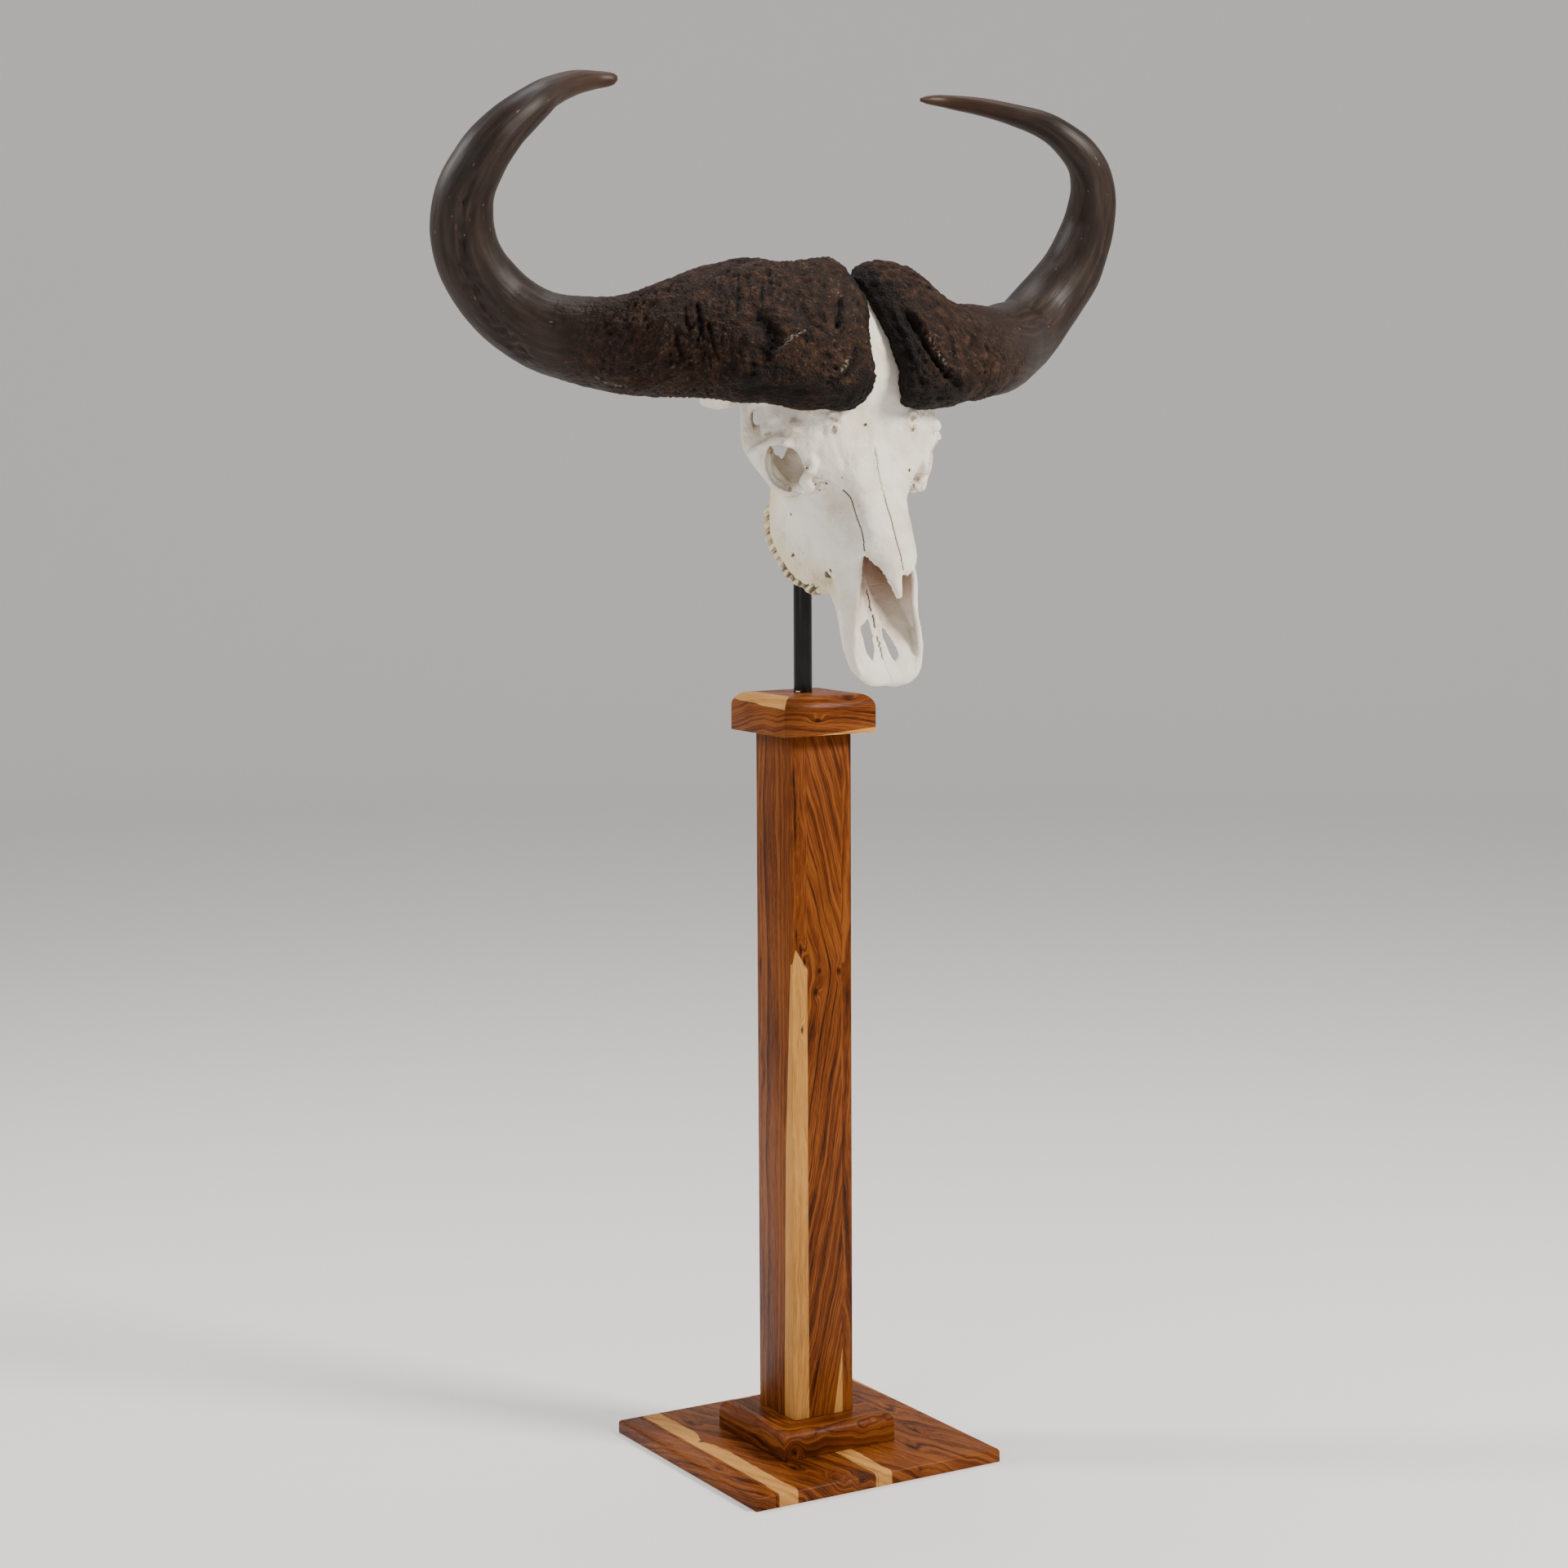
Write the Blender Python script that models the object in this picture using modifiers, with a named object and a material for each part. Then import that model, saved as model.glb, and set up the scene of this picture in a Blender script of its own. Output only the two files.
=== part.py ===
"""African buffalo skull with horns on a square hardwood pedestal.

Metres, +Z up. The origin is on the floor under the middle of the column, and the skull looks along -Y.
The skull, its teeth and its horns are made in the skull's own axes: x to the side, y from the tip of the
muzzle to the back of the head, z out of the forehead. One empty then tips them up onto the post.
"""
import math

import bmesh
import bpy
from mathutils import Matrix, Vector

# Pedestal, from the floor up
BASE_SIDE = 0.370
BASE_HEIGHT = 0.018
BASE_EDGE = 0.0045
BOARD_WIDTHS = (("base_board_right", 0.029), ("base_board_middle", 0.1515), ("base_board_left", 0.1889))
FOOT_SIDE = 0.170
FOOT_HEIGHT = 0.037
FOOT_EDGE = 0.011
COLUMN_SIDE = 0.090
COLUMN_EDGE = 0.0012
COLUMN_TOP = 0.959
CAP_SIDE = 0.137
CAP_HEIGHT = 0.050
CAP_EDGE = 0.018
JOINT_GAP = 0.0003
SAW_MARGIN = 0.040

# Post
POST_RADIUS = 0.012
POST_DEPTH_IN_COLUMN = 0.060
POST_TOP = 1.465
SCREW_RADIUS = 0.0035
SCREW_PLACE = (-0.0135, -0.0095)

# How the skull hangs on the post
MUZZLE_REACH = 0.2162
MUZZLE_HEIGHT = 1.0371
SKULL_TIP_UP = math.radians(62.0)
SKULL_TURN = math.radians(-1.8)

# Mesh fineness of the bone
BONE_VOXEL = 0.0042
BONE_TRIANGLES = 4200

# Colours, linear
BONE = (0.80, 0.77, 0.70)
TOOTH = (0.66, 0.58, 0.42)
HORN = (0.050, 0.032, 0.024)
WOOD = (0.28, 0.085, 0.022)
STEEL_BLACK = (0.012, 0.012, 0.013)
STEEL = (0.55, 0.55, 0.56)

# Skull cross-sections. Each has its place along the skull, then (half width, height) points that go
# from the middle of the top, round the side, to the middle of the underside.
CRANIUM = (
    (0.140, (0.0, 0.100), (0.024, 0.096), (0.037, 0.082), (0.053, 0.050),
     (0.058, 0.010), (0.050, -0.012), (0.0, -0.008)),
    (0.170, (0.0, 0.102), (0.026, 0.098), (0.038, 0.082), (0.056, 0.048),
     (0.064, 0.004), (0.056, -0.020), (0.0, -0.010)),
    (0.205, (0.0, 0.099), (0.028, 0.096), (0.042, 0.078), (0.058, 0.046),
     (0.068, 0.004), (0.062, -0.024), (0.0, -0.012)),
    (0.235, (0.0, 0.101), (0.031, 0.098), (0.052, 0.080), (0.066, 0.050),
     (0.075, 0.006), (0.064, -0.024), (0.0, -0.012)),
    (0.258, (0.0, 0.106), (0.038, 0.103), (0.070, 0.088), (0.084, 0.062),
     (0.087, 0.008), (0.060, -0.020), (0.0, -0.008)),
    (0.285, (0.0, 0.113), (0.052, 0.113), (0.092, 0.096), (0.108, 0.074),
     (0.096, 0.020), (0.050, -0.008), (0.0, -0.004)),
    (0.312, (0.0, 0.130), (0.060, 0.126), (0.100, 0.100), (0.114, 0.070),
     (0.100, 0.030), (0.050, -0.002), (0.0, 0.000)),
    (0.345, (0.0, 0.153), (0.066, 0.144), (0.100, 0.112), (0.112, 0.074),
     (0.106, 0.040), (0.055, -0.002), (0.0, 0.000)),
    (0.400, (0.0, 0.155), (0.076, 0.144), (0.114, 0.114), (0.125, 0.080),
     (0.114, 0.034), (0.064, -0.008), (0.0, -0.004)),
    (0.445, (0.0, 0.150), (0.075, 0.138), (0.120, 0.104), (0.130, 0.062),
     (0.112, 0.014), (0.062, -0.014), (0.0, -0.006)),
    (0.478, (0.0, 0.136), (0.068, 0.124), (0.106, 0.092), (0.112, 0.050),
     (0.094, 0.006), (0.048, -0.014), (0.0, -0.006)),
    (0.500, (0.0, 0.106), (0.048, 0.098), (0.078, 0.074), (0.082, 0.042),
     (0.066, 0.008), (0.034, -0.010), (0.0, -0.004)),
)
PREMAXILLA_FLOOR = (
    (-0.004, (0.0, 0.002), (0.014, 0.002), (0.026, 0.000), (0.014, -0.005), (0.0, -0.006)),
    (0.006, (0.0, 0.004), (0.028, 0.006), (0.042, 0.002), (0.028, -0.006), (0.0, -0.007)),
    (0.022, (0.0, 0.004), (0.038, 0.009), (0.0515, 0.004), (0.038, -0.007), (0.0, -0.006)),
    (0.050, (0.0, 0.003), (0.038, 0.010), (0.0555, 0.007), (0.038, -0.006), (0.0, -0.005)),
    (0.100, (0.0, 0.003), (0.036, 0.008), (0.052, 0.009), (0.036, -0.007), (0.0, -0.005)),
    (0.150, (0.0, 0.002), (0.036, 0.006), (0.054, 0.002), (0.044, -0.014), (0.0, -0.010)),
)

# Side wall of the nose opening: place along the skull, then its outer face from the bottom up
APERTURE_WALL = (
    (0.008, (0.034, -0.004), (0.042, 0.002), (0.039, 0.008)),
    (0.026, (0.043, -0.003), (0.0530, 0.005), (0.048, 0.016)),
    (0.050, (0.045, -0.002), (0.0565, 0.012), (0.048, 0.027)),
    (0.084, (0.043, 0.002), (0.0570, 0.018), (0.0435, 0.042)),
    (0.118, (0.042, 0.000), (0.0575, 0.032), (0.0410, 0.061)),
    (0.155, (0.048, -0.008), (0.0590, 0.032), (0.0370, 0.078)),
)
WALL_THICKNESS = (-0.0065, -0.0025)

# Swept bars of bone on the animal's left: centre, half width across, half width the other way
TOOTH_BEARER = (
    ((0.046, 0.126, -0.006), 0.009, 0.008),
    ((0.051, 0.148, -0.016), 0.013, 0.016),
    ((0.054, 0.178, -0.026), 0.015, 0.025),
    ((0.057, 0.212, -0.032), 0.015, 0.034),
    ((0.058, 0.238, -0.035), 0.015, 0.037),
    ((0.057, 0.264, -0.031), 0.014, 0.035),
    ((0.054, 0.290, -0.023), 0.012, 0.029),
    ((0.048, 0.308, -0.014), 0.008, 0.020),
)
ZYGOMATIC_ARCH = (
    ((0.064, 0.238, 0.004), 0.010, 0.016),
    ((0.081, 0.257, 0.014), 0.010, 0.013),
    ((0.099, 0.274, 0.023), 0.009, 0.013),
    ((0.113, 0.298, 0.023), 0.008, 0.015),
    ((0.121, 0.326, 0.020), 0.0075, 0.016),
    ((0.121, 0.350, 0.026), 0.0075, 0.013),
    ((0.115, 0.378, 0.034), 0.009, 0.012),
    ((0.100, 0.408, 0.030), 0.012, 0.014),
)
POSTORBITAL_BAR = (
    ((0.104, 0.298, 0.082), 0.013, 0.010),
    ((0.111, 0.301, 0.062), 0.014, 0.0075),
    ((0.115, 0.304, 0.044), 0.015, 0.007),
    ((0.117, 0.305, 0.026), 0.017, 0.0075),
)
MASTOID = (
    ((0.096, 0.404, 0.026), 0.016, 0.016),
    ((0.108, 0.404, -0.008), 0.013, 0.011),
    ((0.112, 0.411, -0.042), 0.010, 0.013),
    ((0.112, 0.427, -0.068), 0.009, 0.011),
    ((0.112, 0.435, -0.080), 0.006, 0.006),
)
PAROCCIPITAL = (
    ((0.060, 0.462, 0.010), 0.014, 0.010),
    ((0.064, 0.466, -0.020), 0.012, 0.008),
    ((0.062, 0.468, -0.048), 0.008, 0.006),
    ((0.060, 0.466, -0.068), 0.004, 0.004),
)
PTERYGOID = (
    ((0.032, 0.286, -0.022), 0.006, 0.026),
    ((0.029, 0.310, -0.022), 0.005, 0.026),
    ((0.027, 0.334, -0.014), 0.005, 0.020),
    ((0.028, 0.362, -0.004), 0.006, 0.010),
)
HORN_PEDICLE = (
    ((0.080, 0.406, 0.092), 0.070, 0.044),
    ((0.120, 0.414, 0.086), 0.066, 0.042),
    ((0.150, 0.420, 0.080), 0.056, 0.036),
    ((0.178, 0.426, 0.074), 0.042, 0.026),
)

# Nasal bones, root to tip: place along the skull, half breadth, height in the middle and at the edge
NASAL_ROOT = (0.300, 0.020, 0.118, 0.112)
NASAL_SECTIONS = (
    (0.230, 0.042, 0.101, 0.080),
    (0.195, 0.038, 0.100, 0.080),
    (0.142, 0.038, 0.101, 0.083),
    (0.116, 0.024, 0.099, 0.088),
    (0.098, 0.014, 0.091, 0.085),
    (0.080, 0.006, 0.081, 0.079),
)
NASAL_THICKNESS = (0.0, -0.008)
LEFT_NASAL_BREAK = (0.105, 0.013, 0.093, 0.087)

# Hollows: place of the centre, then half sizes
ORBIT_CENTRE = (0.100, 0.272, 0.057)
ORBIT_AXIS = (0.74, -0.46, 0.48)
ORBIT_RING_RADIUS = 0.0295
ORBIT_RING_THICKNESS = 0.0065
ORBIT_HOLLOWS = (
    ((0.100, 0.272, 0.057), (0.056, 0.0265, 0.0265)),
    ((0.086, 0.300, 0.036), (0.028, 0.036, 0.020)),
)
TEMPORAL_HOLLOWS = (
    ((0.099, 0.345, 0.030), (0.024, 0.030, 0.026)),
    ((0.095, 0.372, 0.004), (0.028, 0.042, 0.042)),
    ((0.092, 0.330, -0.020), (0.038, 0.050, 0.030)),
)
NASAL_CAVITY = (
    (0.030, (0.0, 0.110), (0.030, 0.110), (0.036, 0.060), (0.034, 0.026), (0.026, 0.009), (0.0, 0.008)),
    (0.060, (0.0, 0.110), (0.036, 0.110), (0.043, 0.060), (0.041, 0.024), (0.032, 0.008), (0.0, 0.006)),
    (0.100, (0.0, 0.110), (0.040, 0.110), (0.044, 0.060), (0.042, 0.030), (0.034, 0.008), (0.0, 0.005)),
    (0.141, (0.0, 0.092), (0.022, 0.088), (0.034, 0.072), (0.043, 0.044), (0.038, 0.008), (0.0, 0.004)),
    (0.190, (0.0, 0.091), (0.022, 0.087), (0.034, 0.068), (0.046, 0.042), (0.040, 0.004), (0.0, 0.002)),
    (0.240, (0.0, 0.088), (0.020, 0.083), (0.034, 0.062), (0.040, 0.040), (0.032, 0.004), (0.0, 0.000)),
    (0.290, (0.0, 0.070), (0.014, 0.066), (0.022, 0.050), (0.024, 0.030), (0.020, 0.006), (0.0, 0.002)),
)
CHOANA = (
    (0.276, (0.0, 0.030), (0.016, 0.026), (0.020, 0.006), (0.018, -0.030), (0.0, -0.036)),
    (0.300, (0.0, 0.030), (0.016, 0.026), (0.021, 0.002), (0.020, -0.040), (0.0, -0.050)),
    (0.322, (0.0, 0.014), (0.014, 0.010), (0.020, -0.004), (0.020, -0.044), (0.0, -0.056)),
    (0.345, (0.0, -0.002), (0.012, -0.004), (0.018, -0.012), (0.018, -0.050), (0.0, -0.060)),
)
FORAMEN_MAGNUM = ((0.0, 0.500, 0.026), (0.019, 0.040, 0.017))
PALATE_HOLLOW = ((0.0, 0.215, -0.046), (0.034, 0.085, 0.036))

# Knobs: bulla, occipital condyle, facial tuber over the tooth row, and the side of the occiput
KNOBS = (
    ((0.047, 0.416, -0.018), (0.014, 0.022, 0.018)),
    ((0.028, 0.496, 0.000), (0.018, 0.018, 0.022)),
    ((0.060, 0.196, -0.008), (0.013, 0.030, 0.022)),
    ((0.100, 0.452, 0.050), (0.024, 0.030, 0.045)),
)

# Slits in the floor of the muzzle, one each side of the middle
FISSURE_FRONT = (0.0175, 0.032)
FISSURE_BACK = (0.0130, 0.082)
FISSURE_WIDTH = 0.010

# Cheek teeth: name, where each begins along the skull, and its lobes. TOOTH_ROW is the line of the
# chewing edges, with the height of each point below the palate.
TEETH = (
    ("p2", 0.136, 1),
    ("p3", 0.155, 1),
    ("p4", 0.174, 1),
    ("m1", 0.194, 2),
    ("m2", 0.219, 2),
    ("m3", 0.247, 2),
)
TOOTH_ROW_END = 0.281
TOOTH_ROW = (
    (0.0490, 0.130, -0.030),
    (0.0525, 0.150, -0.045),
    (0.0555, 0.180, -0.070),
    (0.0575, 0.210, -0.084),
    (0.0585, 0.240, -0.091),
    (0.0580, 0.265, -0.085),
    (0.0560, 0.290, -0.069),
)
TOOTH_HALF_BREADTH = 0.0100
TOOTH_HEIGHT = 0.027
TOOTH_SHOULDER = 0.005
TOOTH_EDGE_DROP = 0.007
TOOTH_SPACE = 0.0008
SOCKET_CLEARANCE = 0.0004
SOCKET_DEPTH = 0.020
SOCKET_STEPS = 14

# Horns: the middle line on the animal's left, from the boss to the tip. With each place go the half
# breadth along the skull, the half thickness, how far the back edge is tipped down (radians), how
# square the section is (2 is an ellipse), and the share of BOSS_FULLNESS it takes.
HORN_LINE = (
    ((0.0215, 0.413, 0.139), 0.076, 0.023, 0.15, 2.6, 0.0),
    ((0.026, 0.413, 0.140), 0.095, 0.034, 0.18, 2.8, 0.3),
    ((0.040, 0.412, 0.141), 0.108, 0.043, 0.22, 2.9, 0.15),
    ((0.066, 0.411, 0.140), 0.106, 0.048, 0.19, 2.8, 0.0),
    ((0.100, 0.411, 0.134), 0.099, 0.053, 0.25, 2.7, 0.15),
    ((0.138, 0.417, 0.123), 0.093, 0.054, 0.30, 2.5, 0.75),
    ((0.178, 0.427, 0.099), 0.085, 0.054, 0.33, 2.4, 0.9),
    ((0.220, 0.435, 0.076), 0.073, 0.056, 0.24, 2.2, 0.4),
    ((0.263, 0.4465, 0.045), 0.062, 0.058, 0.08, 2.0, 0.1),
    ((0.307, 0.4705, 0.012), 0.055, 0.054, 0.0, 2.0, 0.0),
    ((0.354, 0.4985, -0.010), 0.049, 0.0485, 0.0, 2.0, 0.0),
    ((0.401, 0.5385, -0.010), 0.0457, 0.0445, 0.0, 2.0, 0.0),
    ((0.4435, 0.584, 0.020), 0.041, 0.041, 0.0, 2.0, 0.0),
    ((0.4575, 0.628, 0.065), 0.0357, 0.0357, 0.0, 2.0, 0.0),
    ((0.446, 0.659, 0.1095), 0.0306, 0.0306, 0.0, 2.0, 0.0),
    ((0.421, 0.685, 0.137), 0.0262, 0.0262, 0.0, 2.0, 0.0),
    ((0.3785, 0.716, 0.149), 0.0206, 0.0206, 0.0, 2.0, 0.0),
    ((0.337, 0.748, 0.132), 0.0160, 0.0160, 0.0, 2.0, 0.0),
    ((0.294, 0.772, 0.1135), 0.0130, 0.0130, 0.0, 2.0, 0.0),
    ((0.2605, 0.783, 0.1035), 0.0100, 0.0100, 0.0, 2.0, 0.0),
    ((0.236, 0.784, 0.1035), 0.0068, 0.0068, 0.0, 2.0, 0.0),
    ((0.2275, 0.784, 0.1035), 0.0030, 0.0030, 0.0, 2.0, 0.0),
)
HORN_SIDES = 18
HORN_STEPS = 2
INNER_EDGE_LEAN = {"back": 0.085, "front": 0.045}
LEAN_ENDS = 0.110
TIP_SWELL = {"right": 0.25, "left": -0.20}
TIP_SHIFT = {"right": (0.0, 0.009, 0.0), "left": (-0.012, 0.0, 0.0)}
TIP_STARTS = 0.55
BOSS_FULLNESS = {"right": 0.12, "left": -0.21}
BOSS_LUMP = 0.0045
BOSS_LUMP_SIZE = 0.035
LUMPS_END = 0.300
LUMPS_FADE = 0.120
HORN_CLEARANCE = 0.0005


def clear_scene():
    for old in list(bpy.data.objects):
        bpy.data.objects.remove(old)


def add_collection(name):
    group = bpy.data.collections.new(name)
    bpy.context.scene.collection.children.link(group)
    return group


def add_material(name, colour, roughness, metallic=0.0):
    made = bpy.data.materials.new(name)
    made.use_nodes = True
    shader = made.node_tree.nodes["Principled BSDF"]
    shader.inputs["Base Color"].default_value = (*colour, 1.0)
    shader.inputs["Roughness"].default_value = roughness
    shader.inputs["Metallic"].default_value = metallic
    made.diffuse_color = (*colour, 1.0)
    return made


def add_object(name, mesh, group, look=None, parent=None):
    thing = bpy.data.objects.new(name, mesh)
    group.objects.link(thing)
    if look:
        mesh.materials.append(look)
    if parent:
        thing.parent = parent
    return thing


def mesh_from(shape, name):
    bmesh.ops.recalc_face_normals(shape, faces=shape.faces)
    mesh = bpy.data.meshes.new(name)
    shape.to_mesh(mesh)
    shape.free()
    return mesh


def hide_cutter(cutter):
    cutter.hide_render = True
    cutter.display_type = "WIRE"


def add_cut(target, cutter, operation="DIFFERENCE"):
    cut = target.modifiers.new("Cut", "BOOLEAN")
    cut.operation = operation
    cut.solver = "EXACT"
    cut.object = cutter


def add_bevel(target, width, segments, by_weight=False):
    bevel = target.modifiers.new("Rounded edges", "BEVEL")
    bevel.width = width
    bevel.segments = segments
    bevel.limit_method = "WEIGHT" if by_weight else "ANGLE"
    bevel.use_clamp_overlap = False


def spline_value(before, start, end, after, t):
    """Point at t between start and end on the smooth curve through four points in a row."""
    line = 2.0 * start + (end - before) * t
    bend = (2.0 * before - 5.0 * start + 4.0 * end - after) * t ** 2
    turn = (3.0 * start - before - 3.0 * end + after) * t ** 3
    return (line + bend + turn) * 0.5


def smooth_open(points, steps):
    """The smooth curve through a row of points, with steps pieces between neighbours."""
    points = [Vector(point) for point in points]
    row = [2.0 * points[0] - points[1]] + points + [2.0 * points[-1] - points[-2]]
    made = []
    for index in range(1, len(row) - 2):
        for step in range(steps):
            made.append(spline_value(*row[index - 1:index + 3], step / steps))
    made.append(points[-1])
    return made


def smooth_closed(points, steps):
    """The smooth closed curve through a ring of points."""
    points = [Vector(point) for point in points]
    count = len(points)
    made = []
    for index in range(count):
        near = [points[(index + shift) % count] for shift in (-1, 0, 1, 2)]
        for step in range(steps):
            made.append(spline_value(*near, step / steps))
    return made


def add_loft(shape, rings):
    """Skins a row of rings that have equal counts of points, and closes both ends."""
    rows = [[shape.verts.new(point) for point in ring] for ring in rings]
    count = len(rows[0])
    for near, far in zip(rows, rows[1:]):
        for index in range(count):
            follow = (index + 1) % count
            shape.faces.new((near[index], near[follow], far[follow], far[index]))
    shape.faces.new(rows[0])
    shape.faces.new(rows[-1])


def add_section_loft(shape, sections, steps_along=3, steps_round=3):
    """A loft that is the same left and right, from half outlines at places along the skull."""
    columns = []
    for place, *half in sections:
        full = list(half) + [(-x, z) for x, z in reversed(half[1:-1])]
        columns.append([(x, place, z) for x, z in full])
    lines = [smooth_open(line, steps_along) for line in zip(*columns)]
    add_loft(shape, [smooth_closed(ring, steps_round) for ring in zip(*lines)])


def add_bar(shape, stations, side, count=12, steps=3):
    """A bent bar of bone. Its sections are ellipses: one half width lies level across the bar."""
    centres = smooth_open([place for place, wide, deep in stations], steps)
    sizes = smooth_open([(wide, deep, 0.0) for place, wide, deep in stations], steps)
    rings = []
    for index, centre in enumerate(centres):
        before = centres[max(index - 1, 0)]
        after = centres[min(index + 1, len(centres) - 1)]
        ahead = (after - before).normalized()
        upright = Vector((0.0, 0.0, 1.0)) if abs(ahead.z) < 0.8 else Vector((0.0, 1.0, 0.0))
        across = ahead.cross(upright).normalized()
        upward = across.cross(ahead).normalized()
        ring = []
        for step in range(count):
            angle = 2.0 * math.pi * step / count
            offset = across * math.cos(angle) * sizes[index].x + upward * math.sin(angle) * sizes[index].y
            point = centre + offset
            ring.append(Vector((point.x * side, point.y, point.z)))
        rings.append(ring)
    add_loft(shape, rings)


def add_ellipsoid(shape, centre, half_sizes, side=1.0, axis=None):
    """An ellipsoid. With an axis, its own x lies along that direction."""
    turn = Matrix.Identity(4)
    if axis:
        turn = Vector((axis[0] * side, axis[1], axis[2])).to_track_quat("X", "Z").to_matrix().to_4x4()
    place = Matrix.Translation((centre[0] * side, centre[1], centre[2]))
    matrix = place @ turn @ Matrix.Diagonal((*half_sizes, 1.0))
    bmesh.ops.create_uvsphere(shape, u_segments=20, v_segments=12, radius=1.0, matrix=matrix)


def add_ring(shape, centre, axis, radius, thickness, side, segments=28, sides=10):
    """A round rim of bone about an axis."""
    turn = Vector((axis[0] * side, axis[1], axis[2])).to_track_quat("Z", "Y").to_matrix()
    middle = Vector((centre[0] * side, centre[1], centre[2]))
    rows = []
    for segment in range(segments):
        angle = 2.0 * math.pi * segment / segments
        outward = Vector((math.cos(angle), math.sin(angle), 0.0))
        row = []
        for step in range(sides):
            tilt = 2.0 * math.pi * step / sides
            reach = outward * (radius + thickness * math.cos(tilt))
            reach.z = thickness * math.sin(tilt)
            row.append(shape.verts.new(middle + turn @ reach))
        rows.append(row)
    for index, near in enumerate(rows):
        far = rows[(index + 1) % segments]
        for step in range(sides):
            follow = (step + 1) % sides
            shape.faces.new((near[step], near[follow], far[follow], far[step]))


def add_plate(shape, sections, thickness, side):
    """A curved plate of bone, from lines along its outer face. Thickness is the step to its inner face."""
    columns = []
    for place, *face in sections:
        back = [(x + thickness[0], z + thickness[1]) for x, z in reversed(face)]
        columns.append([(x * side, place, z) for x, z in list(face) + back])
    lines = [smooth_open(line, 3) for line in zip(*columns)]
    add_loft(shape, zip(*lines))


def nasal_sections(broken_end=None):
    """One nasal bone: a curved plate that runs forward over the nose opening to its tip."""
    row = [NASAL_ROOT]
    for section in NASAL_SECTIONS:
        if broken_end and section[0] < broken_end[0]:
            break
        row.append(section)
    if broken_end:
        row.append(broken_end)
    sections = []
    for place, half, middle, edge in row:
        bulge = middle - (middle - edge) * 0.25
        sections.append((place, (-0.001, middle), (half * 0.55, bulge), (half, edge)))
    return sections


def core_shapes():
    """The closed masses of bone, before they are hollowed."""
    shape = bmesh.new()
    add_section_loft(shape, CRANIUM)
    for side in (-1.0, 1.0):
        for bar in (TOOTH_BEARER, MASTOID, PAROCCIPITAL, HORN_PEDICLE):
            add_bar(shape, bar, side)
        for centre, half_sizes in KNOBS:
            add_ellipsoid(shape, centre, half_sizes, side)
    return shape


def hollow_shapes():
    """Orbits, temporal hollows, nose cavity, choana, palate and the way in to the brain."""
    shape = bmesh.new()
    add_section_loft(shape, NASAL_CAVITY)
    add_section_loft(shape, CHOANA)
    add_ellipsoid(shape, *PALATE_HOLLOW)
    add_ellipsoid(shape, *FORAMEN_MAGNUM)
    for side in (-1.0, 1.0):
        for index, (centre, half_sizes) in enumerate(ORBIT_HOLLOWS):
            add_ellipsoid(shape, centre, half_sizes, side, ORBIT_AXIS if index == 0 else None)
        for centre, half_sizes in TEMPORAL_HOLLOWS:
            add_ellipsoid(shape, centre, half_sizes, side)
    return shape


def rim_shapes():
    """The thin bones that stand round the hollows."""
    shape = bmesh.new()
    add_section_loft(shape, PREMAXILLA_FLOOR)
    add_plate(shape, nasal_sections(), NASAL_THICKNESS, -1.0)
    add_plate(shape, nasal_sections(LEFT_NASAL_BREAK), NASAL_THICKNESS, 1.0)
    for side in (-1.0, 1.0):
        add_ring(shape, ORBIT_CENTRE, ORBIT_AXIS, ORBIT_RING_RADIUS, ORBIT_RING_THICKNESS, side)
        add_plate(shape, APERTURE_WALL, WALL_THICKNESS, side)
        for bar in (ZYGOMATIC_ARCH, POSTORBITAL_BAR, PTERYGOID):
            add_bar(shape, bar, side)
    return shape


def slit_shapes():
    """The two palatine fissures, as upright wedges through the floor of the muzzle."""
    shape = bmesh.new()
    for side in (-1.0, 1.0):
        front = Vector((FISSURE_FRONT[0] * side, FISSURE_FRONT[1]))
        back = Vector((FISSURE_BACK[0] * side, FISSURE_BACK[1]))
        along = (back - front).normalized()
        across = Vector((-along.y, along.x)) * FISSURE_WIDTH / 2.0
        outline = smooth_closed(
            [
                (*front, 0.0),
                (*(front.lerp(back, 0.25) + across), 0.0),
                (*(front.lerp(back, 0.7) + across * 0.9), 0.0),
                (*back, 0.0),
                (*(front.lerp(back, 0.7) - across * 0.9), 0.0),
                (*(front.lerp(back, 0.25) - across), 0.0),
            ],
            2,
        )
        add_loft(shape, [[point + Vector((0.0, 0.0, z)) for point in outline] for z in (-0.03, 0.02)])
    return shape


def row_point(place):
    """The middle of the tooth row and its crown height at a place along the skull."""
    line = smooth_open(TOOTH_ROW, 8)
    for near, far in zip(line, line[1:]):
        if far.y >= place:
            break
    return near.lerp(far, (place - near.y) / (far.y - near.y))


def tooth_section(place, side, breadth, rise):
    """A nine-sided outline across the row: root at the top, chewing edge at the bottom."""
    middle = row_point(place)
    low = middle.z + rise
    top = middle.z + TOOTH_HEIGHT
    half = TOOTH_HALF_BREADTH * breadth
    outline = (
        (-0.6, top),
        (0.6, top),
        (1.0, top - TOOTH_SHOULDER),
        (1.0, low + TOOTH_EDGE_DROP),
        (0.72, low),
        (0.0, low + TOOTH_EDGE_DROP * 0.4),
        (-0.72, low + TOOTH_EDGE_DROP * 0.3),
        (-1.0, low + TOOTH_EDGE_DROP),
        (-1.0, top - TOOTH_SHOULDER),
    )
    return [Vector(((middle.x + half * x) * side, place, z)) for x, z in outline]


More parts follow.
